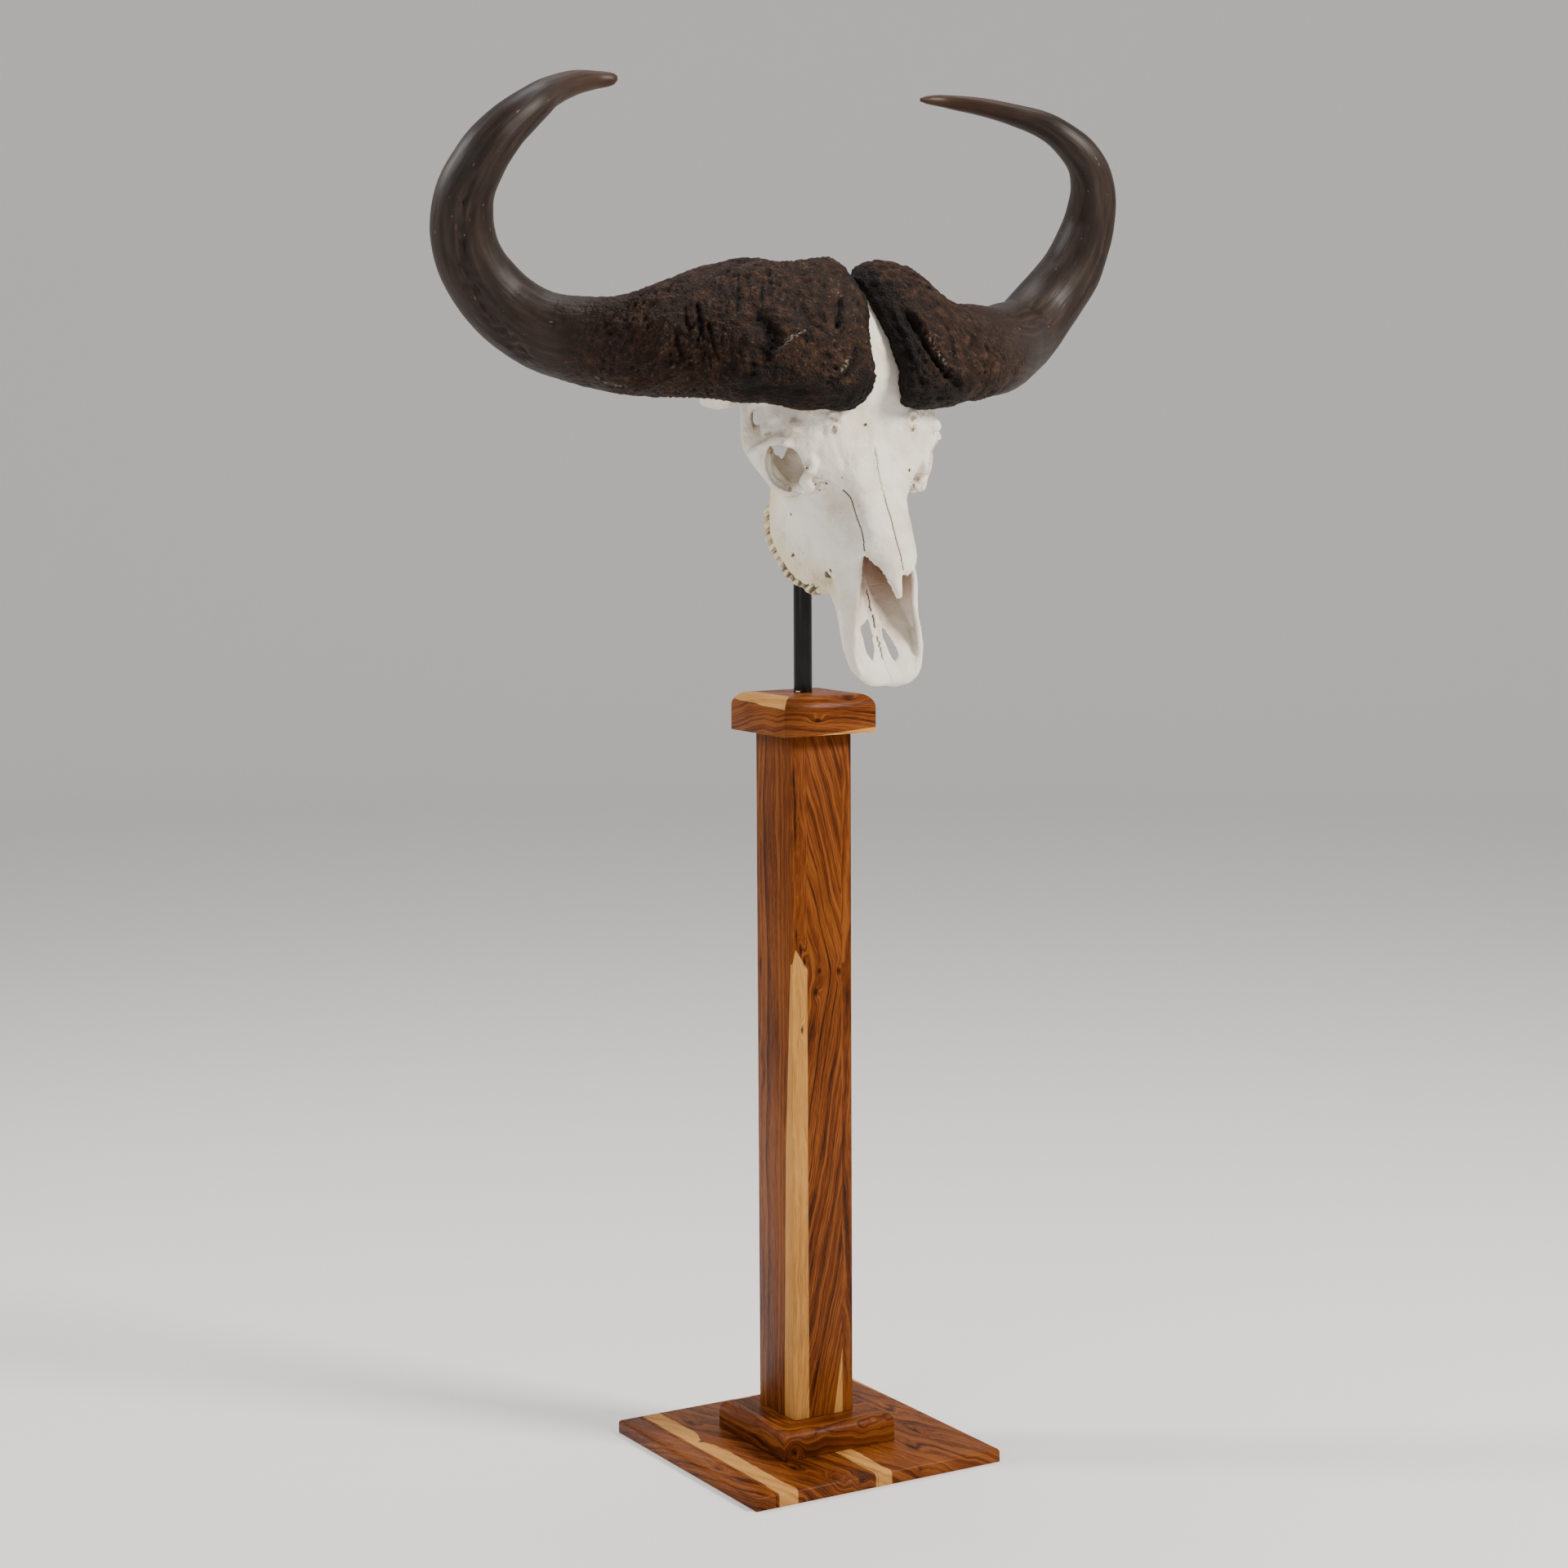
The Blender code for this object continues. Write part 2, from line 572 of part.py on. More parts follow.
def tooth_mesh(name, start, end, lobes, side):
    """A cheek tooth: one lobe on a premolar, two on a molar."""
    shares = [(0.0, 0.75, 0.003), (0.5, 1.0, 0.0), (1.0, 0.75, 0.003)]
    if lobes == 2:
        shares[1:2] = [(0.25, 1.0, 0.0), (0.5, 0.84, 0.004), (0.75, 1.0, 0.0)]
    shape = bmesh.new()
    rings = []
    for share, breadth, rise in shares:
        rings.append(tooth_section(start + (end - start) * share, side, breadth, rise))
    add_loft(shape, rings)
    return mesh_from(shape, name)


def socket_shapes():
    """One trough a side, just wider than the teeth, that opens downward."""
    shape = bmesh.new()
    for side in (-1.0, 1.0):
        rings = []
        start = TEETH[0][1] - SOCKET_CLEARANCE
        length = TOOTH_ROW_END + SOCKET_CLEARANCE - start
        for step in range(SOCKET_STEPS + 1):
            middle = row_point(start + length * step / SOCKET_STEPS)
            half = TOOTH_HALF_BREADTH + SOCKET_CLEARANCE
            top = middle.z + TOOTH_HEIGHT + SOCKET_CLEARANCE
            low = middle.z - SOCKET_DEPTH
            outline = ((-half, top), (half, top), (half, low), (-half, low))
            rings.append([Vector(((middle.x + x) * side, middle.y, z)) for x, z in outline])
        add_loft(shape, rings)
    return shape


def horn_rings(side, side_name):
    """Rings round one horn, from its inner wall by the parting to its tip."""
    centres = smooth_open([row[0] for row in HORN_LINE], HORN_STEPS)
    sizes = smooth_open([row[1:4] for row in HORN_LINE], HORN_STEPS)
    forms = smooth_open([(*row[4:6], 0.0) for row in HORN_LINE], HORN_STEPS)
    breadth = Vector((0.0, 1.0, 0.0))
    rings = []
    for index, centre in enumerate(centres):
        before = centres[max(index - 1, 0)]
        after = centres[min(index + 1, len(centres) - 1)]
        ahead = (after - before).normalized()
        breadth = (breadth - ahead * breadth.dot(ahead)).normalized()
        tipped = Matrix.Rotation(-sizes[index].z, 3, ahead) @ breadth
        upward = ahead.cross(tipped)
        share = max(0.0, (index / (len(centres) - 1) - TIP_STARTS) / (1.0 - TIP_STARTS))
        full = BOSS_FULLNESS[side_name] * forms[index].y
        scale = (1.0 + TIP_SWELL[side_name] * share) * (1.0 + full)
        boss_shift = Vector((0.0, sizes[index].x * full, 0.0))
        middle = centre + boss_shift + Vector(TIP_SHIFT[side_name]) * share ** 2
        near_parting = max(0.0, 1.0 - centre.x / LEAN_ENDS)
        power = 2.0 / forms[index].x
        ring = []
        for step in range(HORN_SIDES):
            angle = 2.0 * math.pi * step / HORN_SIDES
            along = math.copysign(abs(math.cos(angle)) ** power, math.cos(angle))
            over = math.copysign(abs(math.sin(angle)) ** power, math.sin(angle))
            offset = (tipped * along * sizes[index].x + upward * over * sizes[index].y) * scale
            point = middle + offset
            lean = INNER_EDGE_LEAN["back" if offset.y > 0.0 else "front"] * near_parting
            ring.append(Vector(((point.x - lean * offset.y) * side, point.y, point.z)))
        rings.append(ring)
    return rings


def add_remesh(target, voxel):
    remesh = target.modifiers.new("Grown together", "REMESH")
    remesh.mode = "VOXEL"
    remesh.voxel_size = voxel


def applied_mesh(thing, name):
    """A mesh of its own, as the modifiers leave the object."""
    seen = thing.evaluated_get(bpy.context.evaluated_depsgraph_get())
    mesh = bpy.data.meshes.new_from_object(seen)
    mesh.name = name
    return mesh


def triangle_count(mesh):
    return sum(len(face.vertices) - 2 for face in mesh.polygons)


def make_skull(parts, cutters, holder):
    """The bone, grown from overlapping masses, hollowed, given its thin bones, and thinned out."""
    look = add_material("bleached bone", BONE, 0.55)
    guides = []
    for name, made in (
        ("skull_masses", core_shapes()),
        ("skull_hollows", hollow_shapes()),
        ("skull_slits", slit_shapes()),
        ("skull_sockets", socket_shapes()),
    ):
        guide = add_object(name, mesh_from(made, name), cutters, parent=holder)
        hide_cutter(guide)
        guides.append(guide)
    masses, hollows, slits, sockets = guides
    add_remesh(hollows, BONE_VOXEL)
    add_remesh(masses, BONE_VOXEL)
    add_cut(masses, hollows)
    whole = rim_shapes()
    whole.from_mesh(applied_mesh(masses, "skull_masses_hollowed"))
    skull = add_object("skull", mesh_from(whole, "skull"), parts, look, holder)
    add_remesh(skull, BONE_VOXEL)
    add_cut(skull, slits)
    ease = skull.modifiers.new("Eased surface", "SMOOTH")
    ease.factor = 0.5
    ease.iterations = 2
    count = triangle_count(applied_mesh(skull, "skull_full"))
    thin = skull.modifiers.new("Fewer faces", "DECIMATE")
    thin.ratio = BONE_TRIANGLES / count
    add_cut(skull, sockets)
    return skull


def make_teeth(parts, holder):
    look = add_material("tooth enamel", TOOTH, 0.35)
    ends = [start for name, start, lobes in TEETH[1:]] + [TOOTH_ROW_END]
    for side, side_name in ((-1.0, "right"), (1.0, "left")):
        for (name, start, lobes), end in zip(TEETH, ends):
            full = "tooth_{}_{}".format(side_name, name)
            mesh = tooth_mesh(full, start + TOOTH_SPACE / 2.0, end - TOOTH_SPACE / 2.0, lobes, side)
            add_object(full, mesh, parts, look, holder)


def make_horns(parts, cutters, holder, skull):
    """The two sheaths, lumpy over the boss, cut to sit on the bone."""
    look = add_material("horn", HORN, 0.45)
    seat = add_object("horn_seat", applied_mesh(skull, "horn_seat"), cutters, parent=holder)
    clear = seat.modifiers.new("Clearance", "DISPLACE")
    clear.strength = HORN_CLEARANCE
    clear.mid_level = 0.0
    hide_cutter(seat)
    lumps = bpy.data.textures.new("boss lumps", "CLOUDS")
    lumps.noise_scale = BOSS_LUMP_SIZE
    for side, side_name in ((-1.0, "right"), (1.0, "left")):
        name = "horn_" + side_name
        shape = bmesh.new()
        add_loft(shape, horn_rings(side, side_name))
        horn = add_object(name, mesh_from(shape, name), parts, look, holder)
        boss = horn.vertex_groups.new(name="boss")
        for vertex in horn.data.vertices:
            reach = abs(vertex.co.x)
            weight = min(1.0, max(0.0, (LUMPS_END - reach) / LUMPS_FADE))
            boss.add([vertex.index], weight, "REPLACE")
        rough = horn.modifiers.new("Boss lumps", "DISPLACE")
        rough.texture = lumps
        rough.texture_coords = "LOCAL"
        rough.strength = BOSS_LUMP
        rough.vertex_group = "boss"
        add_cut(horn, seat)
        horn.data.shade_smooth()


def box_mesh(name, size, centre):
    shape = bmesh.new()
    matrix = Matrix.Translation(centre) @ Matrix.Diagonal((*size, 1.0))
    bmesh.ops.create_cube(shape, size=1.0, matrix=matrix)
    return mesh_from(shape, name)


def round_mesh(name, radius, bottom, top, segments=32):
    shape = bmesh.new()
    matrix = Matrix.Translation((0.0, 0.0, (bottom + top) / 2.0))
    sizes = {"radius1": radius, "radius2": radius, "depth": top - bottom}
    bmesh.ops.create_cone(shape, cap_ends=True, segments=segments, matrix=matrix, **sizes)
    return mesh_from(shape, name)


def weight_top_edges(mesh, height):
    """Marks the edges round the top face to be rounded."""
    weights = mesh.attributes.new("bevel_weight_edge", "FLOAT", "EDGE")
    for edge in mesh.edges:
        lowest = min(mesh.vertices[index].co.z for index in edge.vertices)
        weights.data[edge.index].value = 1.0 if lowest > height - JOINT_GAP else 0.0


def make_pedestal(parts, cutters):
    look = add_material("oiled hardwood", WOOD, 0.35)
    base_top = BASE_HEIGHT
    foot_bottom = base_top + JOINT_GAP
    foot_top = foot_bottom + FOOT_HEIGHT
    column_bottom = foot_top + JOINT_GAP
    cap_bottom = COLUMN_TOP + JOINT_GAP
    cap_top = cap_bottom + CAP_HEIGHT

    slab_start = -BASE_SIDE / 2.0
    for name, width in BOARD_WIDTHS:
        mesh = box_mesh(name, (BASE_SIDE, BASE_SIDE, BASE_HEIGHT), (0.0, 0.0, BASE_HEIGHT / 2.0))
        weight_top_edges(mesh, BASE_HEIGHT)
        board = add_object(name, mesh, parts, look)
        add_bevel(board, BASE_EDGE, 2, by_weight=True)
        middle = slab_start + width / 2.0
        slab_size = (width, BASE_SIDE + SAW_MARGIN, BASE_HEIGHT + SAW_MARGIN)
        slab_mesh = box_mesh(name + "_slab", slab_size, (middle, 0.0, BASE_HEIGHT / 2.0))
        slab = add_object(name + "_slab", slab_mesh, cutters)
        hide_cutter(slab)
        add_cut(board, slab, "INTERSECT")
        slab_start += width + JOINT_GAP

    foot_middle = foot_bottom + FOOT_HEIGHT / 2.0
    foot_mesh = box_mesh("foot_block", (FOOT_SIDE, FOOT_SIDE, FOOT_HEIGHT), (0.0, 0.0, foot_middle))
    weight_top_edges(foot_mesh, foot_top)
    foot = add_object("foot_block", foot_mesh, parts, look)
    add_bevel(foot, FOOT_EDGE, 4, by_weight=True)

    column_height = COLUMN_TOP - column_bottom
    column_middle = column_bottom + column_height / 2.0
    column_mesh = box_mesh("column", (COLUMN_SIDE, COLUMN_SIDE, column_height), (0.0, 0.0, column_middle))
    column = add_object("column", column_mesh, parts, look)
    add_bevel(column, COLUMN_EDGE, 1)

    cap_mesh = box_mesh("cap", (CAP_SIDE, CAP_SIDE, CAP_HEIGHT), (0.0, 0.0, cap_bottom + CAP_HEIGHT / 2.0))
    weight_top_edges(cap_mesh, cap_top)
    cap = add_object("cap", cap_mesh, parts, look)
    add_bevel(cap, CAP_EDGE, 5, by_weight=True)

    post_bottom = COLUMN_TOP - POST_DEPTH_IN_COLUMN
    black = add_material("black gloss steel", STEEL_BLACK, 0.15, 0.0)
    post_mesh = round_mesh("post", POST_RADIUS, post_bottom, POST_TOP)
    post = add_object("post", post_mesh, parts, black)
    post.data.set_sharp_from_angle(angle=math.radians(40.0))
    bore_radius = POST_RADIUS + JOINT_GAP
    bore_mesh = round_mesh("post_bore", bore_radius, post_bottom - JOINT_GAP, POST_TOP + JOINT_GAP)
    bore = add_object("post_bore", bore_mesh, cutters)
    hide_cutter(bore)
    add_cut(column, bore)
    add_cut(cap, bore)

    shape = bmesh.new()
    head = Matrix.Translation((*SCREW_PLACE, cap_top + JOINT_GAP + SCREW_RADIUS * 0.5))
    head = head @ Matrix.Diagonal((SCREW_RADIUS, SCREW_RADIUS, SCREW_RADIUS * 0.5, 1.0))
    bmesh.ops.create_uvsphere(shape, u_segments=8, v_segments=5, radius=1.0, matrix=head)
    bright = add_material("bright steel", STEEL, 0.2, 1.0)
    add_object("post_screw", mesh_from(shape, "post_screw"), parts, bright)
    return bore


clear_scene()
parts = add_collection("buffalo_skull_mount")
cutters = add_collection("cutters")
bore = make_pedestal(parts, cutters)

holder = bpy.data.objects.new("skull_holder", None)
parts.objects.link(holder)
holder.location = Matrix.Rotation(SKULL_TURN, 3, "Z") @ Vector((0.0, -MUZZLE_REACH, MUZZLE_HEIGHT))
holder.rotation_euler = (SKULL_TIP_UP, 0.0, SKULL_TURN)
bpy.context.view_layer.update()

skull = make_skull(parts, cutters, holder)
make_teeth(parts, holder)
make_horns(parts, cutters, holder, skull)
add_cut(skull, bore)
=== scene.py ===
"""African buffalo skull with its horns, held by a black post over an oiled hardwood pedestal.

Metres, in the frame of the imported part: the floor is z = 0, the skull looks along -Y, and right and left
are the animal's own, so its right is -X.
"""
import math
from functools import partial

import bmesh
import bpy
from mathutils import Matrix, Vector, noise
from mathutils.bvhtree import BVHTree
from mathutils.kdtree import KDTree


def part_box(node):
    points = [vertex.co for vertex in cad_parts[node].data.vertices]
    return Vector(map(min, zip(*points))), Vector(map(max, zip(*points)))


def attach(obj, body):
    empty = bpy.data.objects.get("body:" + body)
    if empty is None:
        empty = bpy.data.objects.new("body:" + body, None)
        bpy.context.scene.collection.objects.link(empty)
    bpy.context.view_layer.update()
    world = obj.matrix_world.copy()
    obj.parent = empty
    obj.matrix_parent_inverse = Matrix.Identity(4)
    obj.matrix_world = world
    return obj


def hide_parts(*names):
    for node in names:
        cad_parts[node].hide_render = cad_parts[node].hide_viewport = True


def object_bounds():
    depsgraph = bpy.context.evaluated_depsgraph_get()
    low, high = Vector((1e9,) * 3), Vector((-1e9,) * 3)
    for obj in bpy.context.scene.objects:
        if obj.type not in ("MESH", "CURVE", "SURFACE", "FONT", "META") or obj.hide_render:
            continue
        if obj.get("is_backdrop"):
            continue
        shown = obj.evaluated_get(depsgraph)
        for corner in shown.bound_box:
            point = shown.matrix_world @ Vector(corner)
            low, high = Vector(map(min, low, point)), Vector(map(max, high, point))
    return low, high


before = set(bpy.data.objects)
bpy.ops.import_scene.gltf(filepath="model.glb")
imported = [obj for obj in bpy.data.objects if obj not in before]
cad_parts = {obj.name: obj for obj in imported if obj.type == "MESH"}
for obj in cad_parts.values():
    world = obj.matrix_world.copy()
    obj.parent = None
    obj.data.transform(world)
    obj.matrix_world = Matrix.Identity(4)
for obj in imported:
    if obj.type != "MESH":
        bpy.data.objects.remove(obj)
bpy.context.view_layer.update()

# Camera: a short telephoto at the height of the horns, in front of the skull and on the animal's
# right, where the photograph was taken from.
CAMERA_PLACE = (-2.1222, -3.5206, 1.3694)
CAMERA_HEADING = math.radians(-30.729)
CAMERA_DOWN = math.radians(6.656)
CAMERA_ROLL = math.radians(-0.295)
CAMERA_LENS = 73.06
CAMERA_SENSOR = 36.0

heading = Matrix.Rotation(CAMERA_HEADING, 4, "Z")
tilt = Matrix.Rotation(math.pi / 2.0 - CAMERA_DOWN, 4, "X")
roll = Matrix.Rotation(CAMERA_ROLL, 4, "Z")
bpy.ops.object.camera_add(location=CAMERA_PLACE, rotation=(heading @ tilt @ roll).to_euler())
camera = bpy.context.object
camera.data.sensor_width = CAMERA_SENSOR
camera.data.lens = CAMERA_LENS
bpy.context.scene.camera = camera

# Studio: a pale seamless sweep that curves up all round, and big soft lights. One key stands high on
# the picture's right, a strip lies behind on the left to draw the edge of the horn, and the rest fill.
SWEEP_FLAT = 7.0
SWEEP_CURVE = 3.0
SWEEP_HEIGHT = 7.0
SWEEP_STEPS = 12
SWEEP_COLOUR = "#f2f0ed"
SKY_COLOUR = "#eef0f4"
SKY_STRENGTH = 0.50
LIGHTS = (
    ("key", (1.9, -2.7, 3.2), (0.0, 0.0, 1.35), (0.9, 0.9), 225.0, "#fff8ee"),
    ("fill", (-3.4, -1.8, 2.0), (0.0, 0.0, 1.2), (1.5, 2.2), 27.0, "#fbf9ff"),
    ("edge strip", (-2.4, 1.6, 3.0), (0.0, 0.1, 1.7), (0.4, 1.4), 80.0, "#ffffff"),
    ("top", (0.3, 0.6, 4.2), (0.0, 0.0, 1.2), (1.6, 1.6), 50.0, "#ffffff"),
)


def paint(code):
    """An sRGB hex colour as linear red, green, blue and alpha."""
    parts = [int(code[place:place + 2], 16) / 255.0 for place in (1, 3, 5)]
    linear = [part / 12.92 if part <= 0.04045 else ((part + 0.055) / 1.055) ** 2.4 for part in parts]
    return (*linear, 1.0)


def set_inputs(node, inputs):
    """Sets inputs, by name or in their order, to values or to the outputs that feed them."""
    for name, value in inputs.items() if isinstance(inputs, dict) else enumerate(inputs):
        if isinstance(value, bpy.types.NodeSocket):
            node.id_data.links.new(value, node.inputs[name])
        else:
            node.inputs[name].default_value = value


def add_node(tree, kind, inputs=(), stops=None, out=0, **settings):
    """Adds a node with its settings and links, and gives the output that is wanted from it."""
    node = tree.nodes.new("ShaderNode" + kind)
    for name, value in settings.items():
        setattr(node, name, value)
    set_inputs(node, inputs)
    if stops:
        ramp = node.color_ramp.elements
        while len(ramp) < len(stops):
            ramp.new(0.5)
        for stop, (place, colour) in zip(ramp, stops):
            stop.position = place
            stop.color = paint(colour)
    return node.outputs[out]


def new_finish(name):
    """A material, add_node for its own nodes, and its shader."""
    finish = bpy.data.materials.new(name)
    finish.use_nodes = True
    tree = finish.node_tree
    return finish, partial(add_node, tree), tree.nodes["Principled BSDF"]


def select_only(*things):
    """Leaves just these objects selected, with the first one active."""
    bpy.ops.object.select_all(action="DESELECT")
    for thing in things:
        thing.select_set(True)
    bpy.context.view_layer.objects.active = things[0]


def add_primitive(operator, name, **sizes):
    """Adds a primitive with nothing else selected."""
    bpy.ops.object.select_all(action="DESELECT")
    operator(**sizes)
    made = bpy.context.object
    made.name = name
    return made


sweep = add_primitive(
    bpy.ops.mesh.primitive_circle_add, "studio_sweep", vertices=96, radius=SWEEP_FLAT, fill_type="NGON")
bpy.ops.object.mode_set(mode="EDIT")
bpy.ops.mesh.select_all(action="SELECT")
bpy.ops.mesh.select_mode(type="EDGE")
bpy.ops.mesh.region_to_loop()
reach = SWEEP_FLAT
for step in range(1, SWEEP_STEPS + 1):
    angle = math.pi / 2.0 * step / SWEEP_STEPS
    wider = SWEEP_FLAT + SWEEP_CURVE * math.sin(angle)
    before = math.pi / 2.0 * (step - 1) / SWEEP_STEPS
    rise = SWEEP_CURVE * (math.cos(before) - math.cos(angle))
    bpy.ops.mesh.extrude_edges_move(TRANSFORM_OT_translate={"value": (0.0, 0.0, rise)})
    bpy.ops.transform.resize(value=(wider / reach, wider / reach, 1.0), center_override=(0.0, 0.0, 0.0))
    reach = wider
bpy.ops.mesh.extrude_edges_move(TRANSFORM_OT_translate={"value": (0.0, 0.0, SWEEP_HEIGHT - SWEEP_CURVE)})
bpy.ops.object.mode_set(mode="OBJECT")
bpy.ops.object.shade_smooth()
paper, add, shader = new_finish("matt studio paper")
set_inputs(shader, {"Base Color": paint(SWEEP_COLOUR), "Roughness": 0.9, "Specular IOR Level": 0.1})
sweep.data.materials.append(paper)
sweep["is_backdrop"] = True

world = bpy.data.worlds.new("studio air")
bpy.context.scene.world = world
world.use_nodes = True
set_inputs(world.node_tree.nodes["Background"], {"Color": paint(SKY_COLOUR), "Strength": SKY_STRENGTH})

for name, place, target, size, power, colour in LIGHTS:
    facing = (Vector(target) - Vector(place)).to_track_quat("-Z", "Y").to_euler()
    bpy.ops.object.light_add(type="AREA", location=place, rotation=facing)
    lamp = bpy.context.object
    lamp.name = name
    lamp.data.shape = "RECTANGLE"
    lamp.data.size = size[0]
    lamp.data.size_y = size[1]
    lamp.data.energy = power
    lamp.data.color = paint(colour)[:3]

# Pedestal wood: dense red-brown African hardwood with a pale yellow sapwood that the maker left in on
# purpose. It is planed, sanded and oiled, so the eye sees satin, dark wandering growth lines, short
# pores along the grain and sharp steps of colour where the sapwood starts.
HEART_STOPS = (
    (0.14, "#120703"), (0.30, "#2c1305"), (0.46, "#4b2208"), (0.64, "#66320f"), (0.84, "#7c461b"))
SAP_STOPS = ((0.25, "#85592b"), (0.55, "#aa763b"), (0.8, "#bb8949"))
KNOT_COLOUR = "#0b0402"

# A band of growth is its width, its share of the shade and its detail. A drift is its size and reach.
BANDS = ((0.0085, 0.43, 4.0), (0.0030, 0.26, 2.0))
DRIFTS = ((0.09, 0.016), (0.020, 0.0030))
DRAWN_OUT = 0.3
FIBRE_ACROSS = 0.0015
FIBRE_LENGTH = 0.045
FIBRE_SHARE = 0.47
PORE_ACROSS = 0.0007
PORE_LENGTH = 0.016
PORE_SHARE = 0.16
CLOUD_SCALE = 16.0
CLOUD_SHARE = 0.30
DARKEST = 0.04
KNOT_REACH = 3.5
KNOT_PUSH = 2.2


def hardwood(name, grain, growth, sapwood=None, knots=()):
    """Oiled hardwood. growth gives the distance through the growth rings at a point, and sapwood the
    share of pale wood there. A knot is a place, its half width and its half length along the grain."""
    def along_grain(across, length):
        return [length if axis == grain else across for axis in "XYZ"]

    finish, add, shader = new_finish(name)
    place = add("TexCoord", out="Object")
    drawn = add("Mapping", {"Vector": place, "Scale": along_grain(1.0, DRAWN_OUT)})
    warped = place
    for size, reach in DRIFTS:
        drift = add("TexNoise", {"Vector": drawn, "Scale": 1.0 / size, "Detail": 2.0}, out="Color")
        centred = add("VectorMath", (drift, (0.5, 0.5, 0.5)), operation="SUBTRACT")
        scaled = add("VectorMath", {0: centred, "Scale": reach * 2.0}, operation="SCALE")
        warped = add("VectorMath", (warped, scaled), operation="ADD")
    depth = growth(add, warped, place)

    from_knots = []
    for centre, half_width, half_length in knots:
        sizes = along_grain(1.0 / half_width, 1.0 / half_length)
        offset = [-value * size for value, size in zip(centre, sizes)]
        local = add("Mapping", {"Vector": place, "Scale": sizes, "Location": offset})
        far = add("VectorMath", (local,), operation="LENGTH", out="Value")
        push = add(
            "MapRange", (far, 0.0, KNOT_REACH, half_width * KNOT_PUSH, 0.0), interpolation_type="SMOOTHSTEP")
        depth = add("Math", (depth, push), operation="ADD")
        from_knots.append(far)

    layers = []
    for width, share, detail in BANDS:
        count = add("Math", (depth, 1.0 / width), operation="MULTIPLY")
        band = add("TexNoise", {"W": count, "Scale": 1.0, "Detail": detail}, noise_dimensions="1D")
        layers.append((band, share))
    lengthways = add("SeparateXYZ", (place,), out=grain)
    fibre_place = add("CombineXYZ", (
        add("Math", (depth, 1.0 / FIBRE_ACROSS), operation="MULTIPLY"),
        add("Math", (lengthways, 1.0 / FIBRE_LENGTH), operation="MULTIPLY")))
    fibres = add("TexNoise", {"Vector": fibre_place, "Scale": 1.0, "Detail": 4.0, "Roughness": 0.6})
    pored = add("Mapping", {"Vector": warped, "Scale": along_grain(1.0 / PORE_ACROSS, 1.0 / PORE_LENGTH)})
    pores = add("TexNoise", {"Vector": pored, "Scale": 1.0, "Detail": 1.0})
    cloud = add("TexNoise", {"Vector": drawn, "Scale": CLOUD_SCALE, "Detail": 1.0})
    shade = DARKEST
    for layer, share in (*layers, (fibres, FIBRE_SHARE), (pores, PORE_SHARE), (cloud, CLOUD_SHARE)):
        shade = add("Math", (layer, share, shade), operation="MULTIPLY_ADD")
    settled = add("MapRange", (shade, 0.55, 1.02))
    colour = add("ValToRGB", (settled,), HEART_STOPS)

    coats = []
    if sapwood:
        coats.append((sapwood(add, warped, place), add("ValToRGB", (settled,), SAP_STOPS)))
    for far in from_knots:
        frayed = add("Math", (pores, 0.7, far), operation="MULTIPLY_ADD")
        coats.append((add("MapRange", (frayed, 0.75, 1.65, 0.88, 0.0)), paint(KNOT_COLOUR)))
    for share, coat in coats:
        colour = add("Mix", {0: share, 6: colour, 7: coat}, data_type="RGBA", out=2)
    set_inputs(shader, {
        "Base Color": colour,
        "Roughness": add("MapRange", (pores, 0.3, 0.7, 0.44, 0.30)),
        "Specular IOR Level": 0.09,
        "Normal": add("Bump", {"Height": pores, "Strength": 0.35, "Distance": 0.0004}),
    })
    return finish


def slope(shares, shift=0.0):
    """Growth rings that cross a piece as flat sheets at a slant."""
    def growth(add, warped, place):
        through = add("VectorMath", (warped, shares), operation="DOT_PRODUCT", out="Value")
        return add("Math", (through, shift), operation="ADD")
    return growth


def where_over(add, pairs):
    """1 where the first of every pair is over the second, and 0 elsewhere."""
    share = 1.0
    for more, less in pairs:
        over = add("Math", (more, less), operation="GREATER_THAN")
        share = add("Math", (share, over), operation="MULTIPLY")
    return share


def apply_place(thing):
    """Moves an object's place, turn and size into its mesh."""
    select_only(thing)
    bpy.ops.object.transform_apply(location=True, rotation=True, scale=True)


def apply_modifier(thing, kind, **settings):
    """Adds a modifier with its settings and applies it."""
    modifier = thing.modifiers.new(kind, kind)
    for name, value in settings.items():
        setattr(modifier, name, value)
    select_only(thing)
    bpy.ops.object.modifier_apply(modifier=modifier.name)


def block_at(node, name):
    """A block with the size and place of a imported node."""
    low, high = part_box(node)
    block = add_primitive(bpy.ops.mesh.primitive_cube_add, name, size=1.0, location=(low + high) / 2.0)
    block.scale = high - low
    apply_place(block)
    return block


def round_edges(block, width, segments, chosen):
    """Bevels the edges whose middle passes the test."""
    select_only(block)
    bpy.ops.object.mode_set(mode="EDIT")
    bpy.ops.mesh.select_mode(type="EDGE")
    bpy.ops.mesh.select_all(action="DESELECT")
    shape = bmesh.from_edit_mesh(block.data)
    for edge in shape.edges:
        edge.select_set(chosen((edge.verts[0].co + edge.verts[1].co) / 2.0))
    bmesh.update_edit_mesh(block.data)
    bpy.ops.mesh.bevel(offset=width, segments=segments, profile=0.5, clamp_overlap=False)
    bpy.ops.object.mode_set(mode="OBJECT")


def stand_in(piece, node, material, corner=None):
    """Smooths a piece, but for edges sharper than the corner, and puts it in place of its node."""
    select_only(piece)
    if corner:
        bpy.ops.object.shade_smooth_by_angle(angle=math.radians(corner))
    else:
        bpy.ops.object.shade_smooth()
    piece.data.materials.clear()
    piece.data.materials.append(material)
    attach(piece, "root")
    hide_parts(node)


